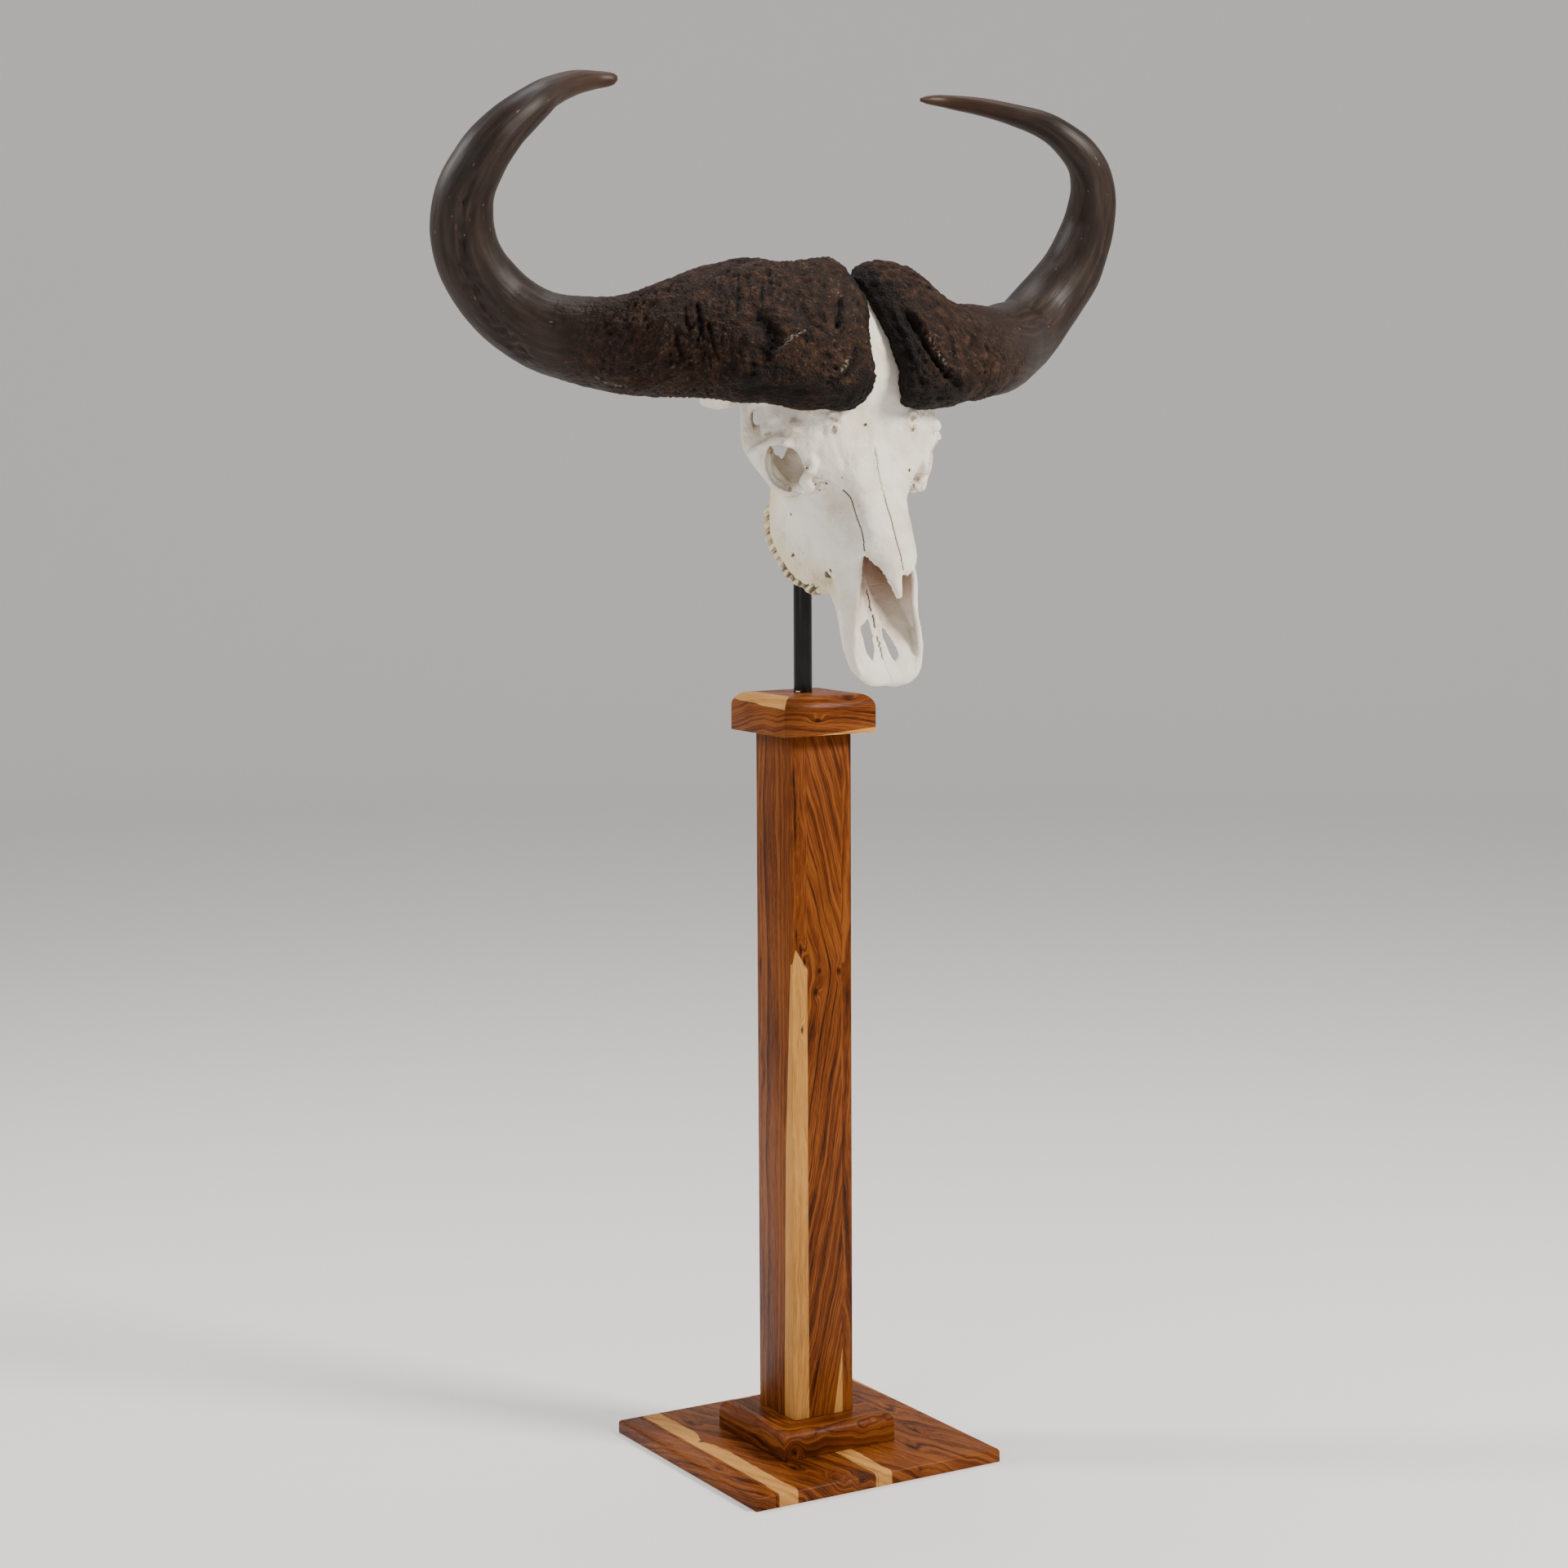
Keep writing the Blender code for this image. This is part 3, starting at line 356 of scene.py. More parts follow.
def finish_block(block, ease, material, node):
    """Breaks the arrises of a wooden block and finishes it."""
    apply_modifier(
        block, "BEVEL", width=ease, segments=2, limit_method="ANGLE", angle_limit=math.radians(50.0),
        use_clamp_overlap=False)
    stand_in(block, node, material, 28.0)


# Base: three boards glued side by side, their grain running from front to back, with the top edge
# rounded over all round. A streak of sapwood runs along each glue line, pinched at a knot.
BASE_EDGE = 0.0045
EASE = 0.0007

# A streak is its two edges, how far its neck pinches it, where the neck is, and a seed.
STRIPES = (
    (-0.1505, -0.1245, 0.0080, 0.045, 2.0),
    (-0.0075, 0.0160, 0.0, 0.0, 9.0),
)
STRIPE_WANDER = 0.012
STRIPE_WANDER_SIZE = 0.075
STRIPE_NECK = 0.024
STRIPE_BLUR = 0.0005
EDGE_LINE = 0.1825
EDGE_TAPER = 0.032
EDGE_SLANT = 0.8
BASE_KNOTS = {
    "base_board_right": (((-0.170, -0.060, 0.016), 0.004, 0.014), ((-0.176, 0.060, 0.016), 0.003, 0.010)),
    "base_board_middle": (
        ((-0.1360, 0.046, 0.018), 0.0028, 0.0040), ((-0.110, 0.120, 0.016), 0.005, 0.012),
        ((-0.060, -0.172, 0.014), 0.006, 0.010), ((-0.085, -0.110, 0.018), 0.004, 0.010),
        ((-0.030, -0.180, 0.012), 0.005, 0.008),
    ),
    "base_board_left": (
        ((0.090, -0.120, 0.018), 0.005, 0.018), ((0.150, 0.030, 0.018), 0.004, 0.014),
        ((0.060, -0.176, 0.012), 0.004, 0.012), ((0.130, -0.060, 0.018), 0.003, 0.020),
    ),
}


def stripes(add, warped, place):
    """Streaks of sapwood along the glue lines, with wandering edges and a neck at a knot."""
    x, y, z = add("SeparateXYZ", (place,)).node.outputs
    whole = 0.0
    for left, right, neck, neck_y, seed in STRIPES:
        edges = []
        for edge, share, shift in ((left, 0.45, 0.0), (right, 1.0, 31.0)):
            count = add("Math", (y, 1.0 / STRIPE_WANDER_SIZE, seed + shift), operation="MULTIPLY_ADD")
            wave = add("TexNoise", {"W": count, "Scale": 1.0, "Detail": 3.0}, noise_dimensions="1D")
            swing = STRIPE_WANDER * share
            edges.append(add("Math", (wave, swing, edge - swing / 2.0), operation="MULTIPLY_ADD"))
        if neck:
            off = add("Math", (y, neck_y), operation="SUBTRACT")
            off = add("Math", (off,), operation="ABSOLUTE")
            pinch = add("MapRange", (off, 0.0, STRIPE_NECK, neck, 0.0))
            edges[1] = add("Math", (edges[1], pinch), operation="SUBTRACT")
        inside = []
        for more, less in ((x, edges[0]), (edges[1], x)):
            past = add("Math", (more, less), operation="SUBTRACT")
            inside.append(add("MapRange", (past, -STRIPE_BLUR, STRIPE_BLUR)))
        streak = add("Math", inside, operation="MULTIPLY")
        whole = add("Math", (whole, streak), operation="MAXIMUM")
    nearing = add("Math", (y, EDGE_TAPER, x), operation="MULTIPLY_ADD")
    nearing = add("Math", (z, EDGE_SLANT, nearing), operation="MULTIPLY_ADD")
    corner = add("Math", (nearing, EDGE_LINE + EDGE_SLANT * base_high.z), operation="GREATER_THAN")
    return add("Math", (whole, corner), operation="MAXIMUM")


base_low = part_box("base_board_right")[0]
base_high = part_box("base_board_left")[1]


def on_rim(middle):
    """Whether an edge's middle lies on the outer top edge of the base."""
    sides = (middle.x - base_low.x, base_high.x - middle.x, middle.y - base_low.y, base_high.y - middle.y)
    return middle.z > base_high.z - 1e-5 and min(sides) < 1e-5


for index, (node, board_knots) in enumerate(BASE_KNOTS.items()):
    board = block_at(node, node + "_oiled")
    round_edges(board, BASE_EDGE, 5, on_rim)
    growth = slope((0.55, 0.16, 0.9), 0.31 * index)
    finish_block(board, EASE, hardwood("oiled hardwood " + node, "Y", growth, stripes, board_knots), node)

# Foot block: one thick piece under the column with its top edge well rounded. Its figure curls round
# the front corner, and runs along both outer faces from there.
FOOT_EDGE = 0.011
FOOT_CURL = 0.03
FOOT_LEAN = -0.8
FOOT_BAND_SHARE = 0.62
FOOT_BAND_SHIFT = 0.113
FOOT_KNOTS = (((-0.070, -0.082, 0.030), 0.006, 0.008),)
foot_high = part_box("foot_block")[1]


def curl(add, warped, place):
    """Growth distance that turns a corner, and leans inwards with height."""
    x, y, z = add("SeparateXYZ", (warped,)).node.outputs
    nearer = add("Math", (x, y, FOOT_CURL), operation="SMOOTH_MIN")
    leaned = add("Math", (z, FOOT_LEAN, nearer), operation="MULTIPLY_ADD")
    return add("Math", (leaned, FOOT_BAND_SHARE, FOOT_BAND_SHIFT), operation="MULTIPLY_ADD")


foot = block_at("foot_block", "foot_block_oiled")
round_edges(foot, FOOT_EDGE, 10, lambda middle: middle.z > foot_high.z - 1e-5)
finish_block(foot, EASE, hardwood("oiled hardwood foot", "Y", curl, None, FOOT_KNOTS), "foot_block")

# Column: three boards glued into a square post. The first keeps a tongue of sapwood that wraps the
# front corner, the second has arched grain that turns at a knot, and the third runs straight.
COLUMN_EASE = 0.0012
COLUMN_HALF = 0.045
GLUE_LINES = (-0.0225, 0.0290)
BOARD_SHIFT = 0.37
ARCH_TURN = 0.650
ARCH_SLOPES = (0.30, -0.21)
ARCH_SOFTNESS = 0.016
TONGUE_TIP = 0.681
TONGUE_MIDDLE = -0.0402
TONGUE_SLOPES = (1.5, -4.0)
TONGUE_WRAP = (0.0045, 0.0185, 0.0250)
TONGUE_WRAP_HEIGHTS = (0.66, 0.42, 0.09)
WEDGE_TIP = 0.143
WEDGE_SLOPE = 0.15
COLUMN_KNOTS = (
    ((-0.0415, -0.045, 0.900), 0.0022, 0.022),
    ((-0.0400, -0.045, 0.850), 0.0018, 0.045),
    ((-0.0310, -0.045, 0.5750), 0.0020, 0.0052),
    ((-0.0097, -0.045, 0.6227), 0.0040, 0.0060),
    ((0.0252, -0.045, 0.6473), 0.0036, 0.0055),
    ((-0.0040, -0.045, 0.6500), 0.0034, 0.0040),
    ((-0.0330, -0.045, 0.6810), 0.0022, 0.0080),
    ((-0.0270, -0.045, 0.6640), 0.0024, 0.0070),
    ((-0.0390, -0.045, 0.6990), 0.0016, 0.0110),
    ((-0.045, 0.030, 0.5050), 0.0030, 0.0100),
    ((-0.045, 0.036, 0.6500), 0.0022, 0.0160),
)


def arched(add, warped, place):
    """Growth distance in the glued column, with a jump from board to board."""
    x, y, z = add("SeparateXYZ", (warped,)).node.outputs
    across = add("SeparateXYZ", (place,))
    height = add("Math", (z, ARCH_TURN), operation="SUBTRACT")
    arms = [add("Math", (height, share), operation="MULTIPLY") for share in ARCH_SLOPES]
    bend = add("Math", (*arms, ARCH_SOFTNESS), operation="SMOOTH_MAX")
    arch = add("Math", (bend, x), operation="ADD")
    straight = add("Math", (x, 0.5, y), operation="MULTIPLY_ADD")
    first = where_over(add, ((across, GLUE_LINES[0]),))
    middle = where_over(add, ((across, GLUE_LINES[0]), (GLUE_LINES[1], across)))
    depth = add("Mix", {0: middle, 2: straight, 3: arch}, data_type="FLOAT")
    return add("Math", (first, BOARD_SHIFT, depth), operation="MULTIPLY_ADD")


def tongue(add, warped, place):
    """The tongue of sapwood round the front corner, and the wedge low on the second board."""
    x, y, z = add("SeparateXYZ", (place,)).node.outputs
    off_middle = add("Math", (x, TONGUE_MIDDLE), operation="SUBTRACT")
    sides = [add("Math", (off_middle, share), operation="MULTIPLY") for share in TONGUE_SLOPES]
    spread = add("Math", sides, operation="MAXIMUM")
    roof = add("Math", (TONGUE_TIP, spread), operation="SUBTRACT")
    wraps = []
    for upper, lower in ((0, 1), (1, 2)):
        heights = (TONGUE_WRAP_HEIGHTS[upper], TONGUE_WRAP_HEIGHTS[lower])
        wraps.append(add("MapRange", (z, *heights, TONGUE_WRAP[upper], TONGUE_WRAP[lower])))
    wrap = add("Math", wraps, operation="ADD")
    wrap = add("Math", (wrap, TONGUE_WRAP[1] + COLUMN_HALF), operation="SUBTRACT")
    share = where_over(add, ((roof, z), (GLUE_LINES[0], x), (wrap, y)))
    start = GLUE_LINES[1] - WEDGE_TIP * WEDGE_SLOPE
    drop = add("Math", (z, WEDGE_SLOPE, start), operation="MULTIPLY_ADD")
    wedge = where_over(add, ((x, drop), (GLUE_LINES[1], x)))
    return add("Math", (share, wedge), operation="MAXIMUM")


column = block_at("column", "column_oiled")
column_wood = hardwood("oiled hardwood column", "Z", arched, tongue, COLUMN_KNOTS)
finish_block(column, COLUMN_EASE, column_wood, "column")

# Cap: one thick block over the column, its top edge rounded over until half of its side is curved.
# Its grain lies level. Sapwood shows along the rounding on the animal's right, and as a thin wedge
# low on the front face.
CAP_EDGE = 0.018
cap_low, cap_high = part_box("cap")
SAP_LINE = cap_high.z - 0.0120
SAP_LINE_DROP = 0.034
SAP_LINE_WAVES = 24.0
SAP_LINE_SWING = 0.004
SAP_LINE_INNER = -0.047
WEDGE_RISE = 0.075
WEDGE_START = 0.0018
CAP_KNOTS = (
    ((0.030, -0.060, cap_high.z - 0.006), 0.005, 0.010),
    ((-0.020, -0.068, cap_low.z + 0.020), 0.003, 0.006),
)


def cap_sapwood(add, warped, place):
    """Sapwood over a wavy line on the rounding, and under a slanting line on the front."""
    x, y, z = add("SeparateXYZ", (place,)).node.outputs
    count = add("Math", (y, SAP_LINE_WAVES), operation="MULTIPLY")
    wave = add("TexNoise", {"W": count, "Scale": 1.0, "Detail": 2.0}, noise_dimensions="1D")
    line = add("Math", (y, SAP_LINE_DROP, SAP_LINE - SAP_LINE_SWING / 2.0), operation="MULTIPLY_ADD")
    line = add("Math", (wave, SAP_LINE_SWING, line), operation="MULTIPLY_ADD")
    rounding = where_over(add, ((z, line), (y, x), (SAP_LINE_INNER, x)))
    rise = add("Math", (x, WEDGE_RISE, cap_low.z + WEDGE_START), operation="MULTIPLY_ADD")
    return add("Math", (rounding, where_over(add, ((rise, z),))), operation="MAXIMUM")


cap = block_at("cap", "cap_oiled")
round_edges(cap, CAP_EDGE, 14, lambda middle: middle.z > cap_high.z - 1e-5)
cap_wood = hardwood("oiled hardwood cap", "X", slope((0.10, 0.14, 1.0)), cap_sapwood, CAP_KNOTS)
finish_block(cap, EASE, cap_wood, "cap")

# Post: a round steel bar, gloss black enamel, that goes down through the cap into the column and up
# into the skull behind the palate. The enamel has a faint orange peel and a little dust.
POST_EDGE = 0.0015
post_low, post_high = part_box("post")
post_radius = (post_high.x - post_low.x) / 2.0
post = add_primitive(
    bpy.ops.mesh.primitive_cylinder_add, "post_enamelled", vertices=96, radius=post_radius,
    depth=post_high.z - post_low.z, location=(post_low + post_high) / 2.0)
apply_place(post)
apply_modifier(post, "BEVEL", width=POST_EDGE, segments=4, limit_method="ANGLE")
black, add, shader = new_finish("gloss black enamel on steel")
place = add("TexCoord", out="Object")
dust = add("TexNoise", {"Vector": place, "Scale": 60.0, "Detail": 4.0})
peel = add("TexNoise", {"Vector": place, "Scale": 500.0, "Detail": 1.0})
set_inputs(shader, {
    "Base Color": add("ValToRGB", (dust,), ((0.35, "#040405"), (0.75, "#0e0e10"))),
    "Roughness": add("MapRange", (dust, 0.0, 1.0, 0.12, 0.26)),
    "Specular IOR Level": 0.4,
    "Normal": add("Bump", {"Height": peel, "Strength": 0.08, "Distance": 0.0002}),
})
stand_in(post, "post", black, 35.0)

# Screw: a small bright dome-headed screw in the cap beside the post, with a cross slot. It keeps the
# post from turning.
SLOT_LENGTH = 0.62
SLOT_WIDTH = 0.0009
SLOT_DEPTH = 0.0011
SLOT_TURN = 0.5


def cut_away(thing, cutter, solver="MANIFOLD"):
    """Takes one shape out of another, and removes the shape that cut."""
    apply_modifier(thing, "BOOLEAN", operation="DIFFERENCE", object=cutter, solver=solver)
    bpy.data.objects.remove(cutter)


screw_low, screw_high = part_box("post_screw")
screw_middle = (screw_low + screw_high) / 2.0
screw_size = screw_high - screw_low
screw = add_primitive(
    bpy.ops.mesh.primitive_uv_sphere_add, "screw_head", segments=40, ring_count=20, radius=0.5,
    location=screw_middle, scale=screw_size)
apply_place(screw)
for turn in (SLOT_TURN, SLOT_TURN + math.pi / 2.0):
    slot = add_primitive(
        bpy.ops.mesh.primitive_cube_add, "screw slot", size=1.0,
        location=(screw_middle.x, screw_middle.y, screw_high.z), rotation=(0.0, 0.0, turn))
    slot.scale = (screw_size.x * SLOT_LENGTH, SLOT_WIDTH, SLOT_DEPTH * 2.0)
    apply_place(slot)
    cut_away(screw, slot, "EXACT")
zinc, add, shader = new_finish("zinc plated steel")
worn = add("TexNoise", {"Vector": add("TexCoord", out="Object"), "Scale": 900.0, "Detail": 2.0})
silver = add("ValToRGB", (worn,), ((0.3, "#8c8c90"), (0.7, "#c8c8cc")))
set_inputs(shader, {"Base Color": silver, "Roughness": 0.24, "Metallic": 1.0})
stand_in(screw, "post_screw", zinc, 40.0)

# Skull: one bleached, degreased bone with its lower jaw missing. It is modelled as a sculptor would
# block it: masses grown together, orbits, temporal pits and nose hollowed out, the thin bones grown in,
# then the fine openings, the seams between the bones and a little unevenness.
MUZZLE_REACH = 0.2162
MUZZLE_HEIGHT = 1.0371
SKULL_TIP_UP = math.radians(62.0)
SKULL_TURN = math.radians(-1.8)
BONE_GRAIN = 0.0025

# Sizes are in the skull's own axes: x to the side, y from the tip of the muzzle backwards, z out of the
# forehead. A mass or a hollow is half outlines at places along the skull, a bar is places with two half
# widths, and a knob is a place with three half sizes.
CRANIUM = (
    (0.140, (0.0, 0.100), (0.024, 0.096), (0.037, 0.082), (0.053, 0.050),
     (0.058, 0.010), (0.050, -0.012), (0.0, -0.008)),
    (0.170, (0.0, 0.102), (0.026, 0.098), (0.038, 0.082), (0.056, 0.048),
     (0.064, 0.004), (0.056, -0.020), (0.0, -0.010)),
    (0.205, (0.0, 0.099), (0.028, 0.096), (0.042, 0.078), (0.058, 0.046),
     (0.068, 0.004), (0.062, -0.024), (0.0, -0.012)),
    (0.235, (0.0, 0.101), (0.031, 0.098), (0.052, 0.080), (0.066, 0.050),
     (0.075, 0.006), (0.064, -0.024), (0.0, -0.012)),
    (0.258, (0.0, 0.106), (0.038, 0.103), (0.070, 0.088), (0.084, 0.062),
     (0.087, 0.008), (0.060, -0.020), (0.0, -0.008)),
    (0.285, (0.0, 0.113), (0.052, 0.113), (0.092, 0.096), (0.108, 0.074),
     (0.096, 0.020), (0.050, -0.008), (0.0, -0.004)),
    (0.312, (0.0, 0.130), (0.060, 0.126), (0.100, 0.100), (0.114, 0.070),
     (0.100, 0.030), (0.050, -0.002), (0.0, 0.000)),
    (0.345, (0.0, 0.153), (0.066, 0.144), (0.100, 0.112), (0.112, 0.074),
     (0.106, 0.040), (0.055, -0.002), (0.0, 0.000)),
    (0.400, (0.0, 0.155), (0.076, 0.144), (0.114, 0.114), (0.125, 0.080),
     (0.114, 0.034), (0.064, -0.008), (0.0, -0.004)),
    (0.445, (0.0, 0.150), (0.075, 0.138), (0.120, 0.104), (0.130, 0.062),
     (0.112, 0.014), (0.062, -0.014), (0.0, -0.006)),
    (0.478, (0.0, 0.136), (0.068, 0.124), (0.106, 0.092), (0.112, 0.050),
     (0.094, 0.006), (0.048, -0.014), (0.0, -0.006)),
    (0.500, (0.0, 0.106), (0.048, 0.098), (0.078, 0.074), (0.082, 0.042),
     (0.066, 0.008), (0.034, -0.010), (0.0, -0.004)),
)
PREMAXILLA_FLOOR = (
    (-0.004, (0.0, 0.002), (0.014, 0.002), (0.026, 0.000), (0.014, -0.005), (0.0, -0.006)),
    (0.006, (0.0, 0.004), (0.028, 0.006), (0.042, 0.002), (0.028, -0.006), (0.0, -0.007)),
    (0.022, (0.0, 0.004), (0.038, 0.009), (0.0515, 0.004), (0.038, -0.007), (0.0, -0.006)),
    (0.050, (0.0, 0.003), (0.038, 0.010), (0.0555, 0.007), (0.038, -0.006), (0.0, -0.005)),
    (0.100, (0.0, 0.003), (0.036, 0.008), (0.052, 0.009), (0.036, -0.007), (0.0, -0.005)),
    (0.150, (0.0, 0.002), (0.036, 0.006), (0.054, 0.002), (0.044, -0.014), (0.0, -0.010)),
)
APERTURE_WALL = (
    (0.008, (0.034, -0.004), (0.042, 0.002), (0.039, 0.008)),
    (0.026, (0.043, -0.003), (0.0530, 0.005), (0.048, 0.016)),
    (0.050, (0.045, -0.002), (0.0565, 0.012), (0.048, 0.027)),
    (0.084, (0.043, 0.002), (0.0570, 0.018), (0.0435, 0.042)),
    (0.118, (0.042, 0.000), (0.0575, 0.032), (0.0410, 0.061)),
    (0.155, (0.048, -0.008), (0.0590, 0.032), (0.0370, 0.078)),
)
WALL_THICKNESS = (-0.0065, -0.0025)
TOOTH_BEARER = (
    ((0.046, 0.130, 0.000), 0.008, 0.007),
    ((0.050, 0.148, -0.013), 0.013, 0.018),
    ((0.054, 0.178, -0.030), 0.016, 0.030),
    ((0.057, 0.212, -0.036), 0.016, 0.039),
    ((0.058, 0.238, -0.039), 0.016, 0.042),
    ((0.057, 0.264, -0.035), 0.015, 0.040),
    ((0.054, 0.290, -0.026), 0.013, 0.033),
    ((0.048, 0.308, -0.014), 0.008, 0.020),
)
ZYGOMATIC_ARCH = (
    ((0.064, 0.238, 0.004), 0.010, 0.016),
    ((0.081, 0.257, 0.014), 0.010, 0.013),
    ((0.099, 0.274, 0.023), 0.009, 0.013),
    ((0.113, 0.298, 0.023), 0.008, 0.015),
    ((0.121, 0.326, 0.020), 0.0075, 0.016),
    ((0.121, 0.350, 0.026), 0.0075, 0.013),
    ((0.115, 0.378, 0.034), 0.009, 0.012),
    ((0.100, 0.408, 0.030), 0.012, 0.014),
)
POSTORBITAL_BAR = (
    ((0.104, 0.298, 0.082), 0.013, 0.010),
    ((0.111, 0.301, 0.062), 0.014, 0.0075),
    ((0.115, 0.304, 0.044), 0.015, 0.007),
    ((0.117, 0.305, 0.026), 0.017, 0.0075),
)
MASTOID = (
    ((0.096, 0.402, 0.026), 0.016, 0.016),
    ((0.108, 0.399, -0.006), 0.012, 0.009),
    ((0.111, 0.412, -0.040), 0.010, 0.009),
    ((0.112, 0.428, -0.064), 0.008, 0.009),
    ((0.112, 0.436, -0.080), 0.006, 0.006),
)
PAROCCIPITAL = (
    ((0.060, 0.462, 0.010), 0.014, 0.010),
    ((0.064, 0.466, -0.020), 0.012, 0.008),
    ((0.062, 0.468, -0.048), 0.008, 0.006),
    ((0.060, 0.466, -0.068), 0.004, 0.004),
)
PTERYGOID = (
    ((0.032, 0.286, -0.022), 0.006, 0.026),
    ((0.029, 0.310, -0.022), 0.005, 0.026),
    ((0.027, 0.334, -0.014), 0.005, 0.020),
    ((0.028, 0.362, -0.004), 0.006, 0.010),
)
HORN_PEDICLE = (
    ((0.080, 0.406, 0.092), 0.070, 0.044),
    ((0.120, 0.414, 0.086), 0.066, 0.042),
    ((0.150, 0.420, 0.080), 0.056, 0.036),
    ((0.178, 0.426, 0.074), 0.042, 0.026),
)
VOMER = (
    ((0.0005, 0.080, 0.002), 0.0034, 0.0035),
    ((0.0005, 0.130, 0.003), 0.0034, 0.0050),
    ((0.0005, 0.190, 0.006), 0.0034, 0.0090),
    ((0.0005, 0.280, 0.024), 0.0044, 0.0300),
)
NASAL_ROOT = (0.300, 0.020, 0.118, 0.112)
NASAL_SECTIONS = (
    (0.230, 0.042, 0.101, 0.080),
    (0.195, 0.038, 0.100, 0.080),
    (0.142, 0.038, 0.101, 0.083),
    (0.116, 0.024, 0.099, 0.088),
    (0.098, 0.014, 0.091, 0.085),
    (0.080, 0.006, 0.081, 0.079),
)
NASAL_THICKNESS = (0.0, -0.006)
LEFT_NASAL_BREAK = (0.105, 0.013, 0.093, 0.087)
ORBIT_CENTRE = (0.100, 0.272, 0.057)
ORBIT_AXIS = (0.80, -0.42, 0.42)
ORBIT_RING_RADIUS = 0.0290
ORBIT_RING_THICKNESS = 0.0060
TEMPORAL_EDGE = (
    ((0.108, 0.362, 0.060), 0.009, 0.010),
    ((0.112, 0.346, 0.060), 0.009, 0.010),
    ((0.115, 0.330, 0.060), 0.0085, 0.010),
    ((0.117, 0.314, 0.062), 0.008, 0.009),
)
TEMPORAL_PLATE = (
    ((0.107, 0.368, 0.074), 0.009, 0.013),
    ((0.109, 0.345, 0.074), 0.009, 0.013),
    ((0.110, 0.322, 0.076), 0.009, 0.011),
)
TEMPORAL_ROOF = (
    ((0.1180, 0.364, 0.066), 0.0075, 0.008),
    ((0.1205, 0.362, 0.054), 0.0070, 0.008),
    ((0.1225, 0.361, 0.042), 0.0060, 0.008),
)
TEMPORAL_FLOOR = (
    ((0.1235, 0.314, 0.041), (0.1215, 0.312, 0.046), (0.1190, 0.311, 0.053)),
    ((0.1225, 0.325, 0.034), (0.1170, 0.329, 0.036), (0.1145, 0.323, 0.051)),
    ((0.1210, 0.345, 0.033), (0.1120, 0.343, 0.029), (0.1085, 0.336, 0.046)),
)
ORBIT_FLOOR = (
    ((0.1165, 0.296, 0.050), (0.104, 0.300, 0.038), (0.090, 0.303, 0.026), (0.076, 0.304, 0.016)),
    ((0.1150, 0.284, 0.040), (0.102, 0.289, 0.029), (0.089, 0.291, 0.020), (0.074, 0.289, 0.014)),
    ((0.1080, 0.270, 0.030), (0.098, 0.277, 0.021), (0.086, 0.279, 0.014), (0.072, 0.276, 0.010)),
)
SHELL_THICKNESS = 0.005
RIM_LUMPS = (
    ((0.1110, 0.290, 0.083), (0.006, 0.008, 0.006)),
    ((0.1010, 0.304, 0.101), (0.009, 0.010, 0.005)),
    ((0.0800, 0.262, 0.086), (0.006, 0.009, 0.006)),
    ((0.0830, 0.252, 0.078), (0.007, 0.006, 0.007)),
    ((0.0830, 0.243, 0.064), (0.007, 0.005, 0.008)),
    ((0.0760, 0.238, 0.053), (0.007, 0.005, 0.006)),
    ((0.0775, 0.2412, 0.056), (0.0085, 0.0075, 0.010)),
)
ORBIT_HOLLOWS = (
    ((0.100, 0.272, 0.057), (0.056, 0.0265, 0.0265)),
    ((0.086, 0.300, 0.036), (0.028, 0.036, 0.020)),
)
TEMPORAL_HOLLOWS = (
    ((0.099, 0.345, 0.030), (0.024, 0.030, 0.026)),
    ((0.095, 0.372, 0.004), (0.028, 0.042, 0.042)),
    ((0.092, 0.330, -0.020), (0.038, 0.050, 0.030)),
)
NASAL_CAVITY = (
    (0.030, (0.0, 0.110), (0.030, 0.110), (0.036, 0.060), (0.034, 0.026), (0.026, 0.009), (0.0, 0.008)),
    (0.060, (0.0, 0.110), (0.036, 0.110), (0.043, 0.060), (0.041, 0.024), (0.032, 0.008), (0.0, 0.006)),
    (0.100, (0.0, 0.110), (0.040, 0.110), (0.044, 0.060), (0.042, 0.030), (0.034, 0.008), (0.0, 0.005)),
    (0.141, (0.0, 0.092), (0.022, 0.088), (0.034, 0.072), (0.043, 0.044), (0.038, 0.008), (0.0, 0.004)),
    (0.190, (0.0, 0.091), (0.022, 0.087), (0.034, 0.068), (0.046, 0.042), (0.040, 0.004), (0.0, 0.002)),
    (0.240, (0.0, 0.088), (0.020, 0.083), (0.034, 0.062), (0.040, 0.040), (0.032, 0.004), (0.0, 0.000)),
    (0.290, (0.0, 0.070), (0.014, 0.066), (0.022, 0.050), (0.024, 0.030), (0.020, 0.006), (0.0, 0.002)),
)
CHOANA = (
    (0.276, (0.0, 0.030), (0.016, 0.026), (0.020, 0.006), (0.018, -0.030), (0.0, -0.036)),
    (0.300, (0.0, 0.030), (0.016, 0.026), (0.021, 0.002), (0.020, -0.040), (0.0, -0.050)),
    (0.322, (0.0, 0.014), (0.014, 0.010), (0.020, -0.004), (0.020, -0.044), (0.0, -0.056)),
    (0.345, (0.0, -0.002), (0.012, -0.004), (0.018, -0.012), (0.018, -0.050), (0.0, -0.060)),
)
FORAMEN_MAGNUM = ((0.0, 0.500, 0.026), (0.019, 0.040, 0.017))
PALATE_HOLLOW = ((0.0, 0.215, -0.046), (0.034, 0.085, 0.036))
BULLA = ((0.047, 0.416, -0.018), (0.014, 0.022, 0.018))
CONDYLE = ((0.028, 0.496, 0.000), (0.018, 0.018, 0.022))
FACIAL_TUBER = ((0.060, 0.196, -0.008), (0.013, 0.030, 0.022))
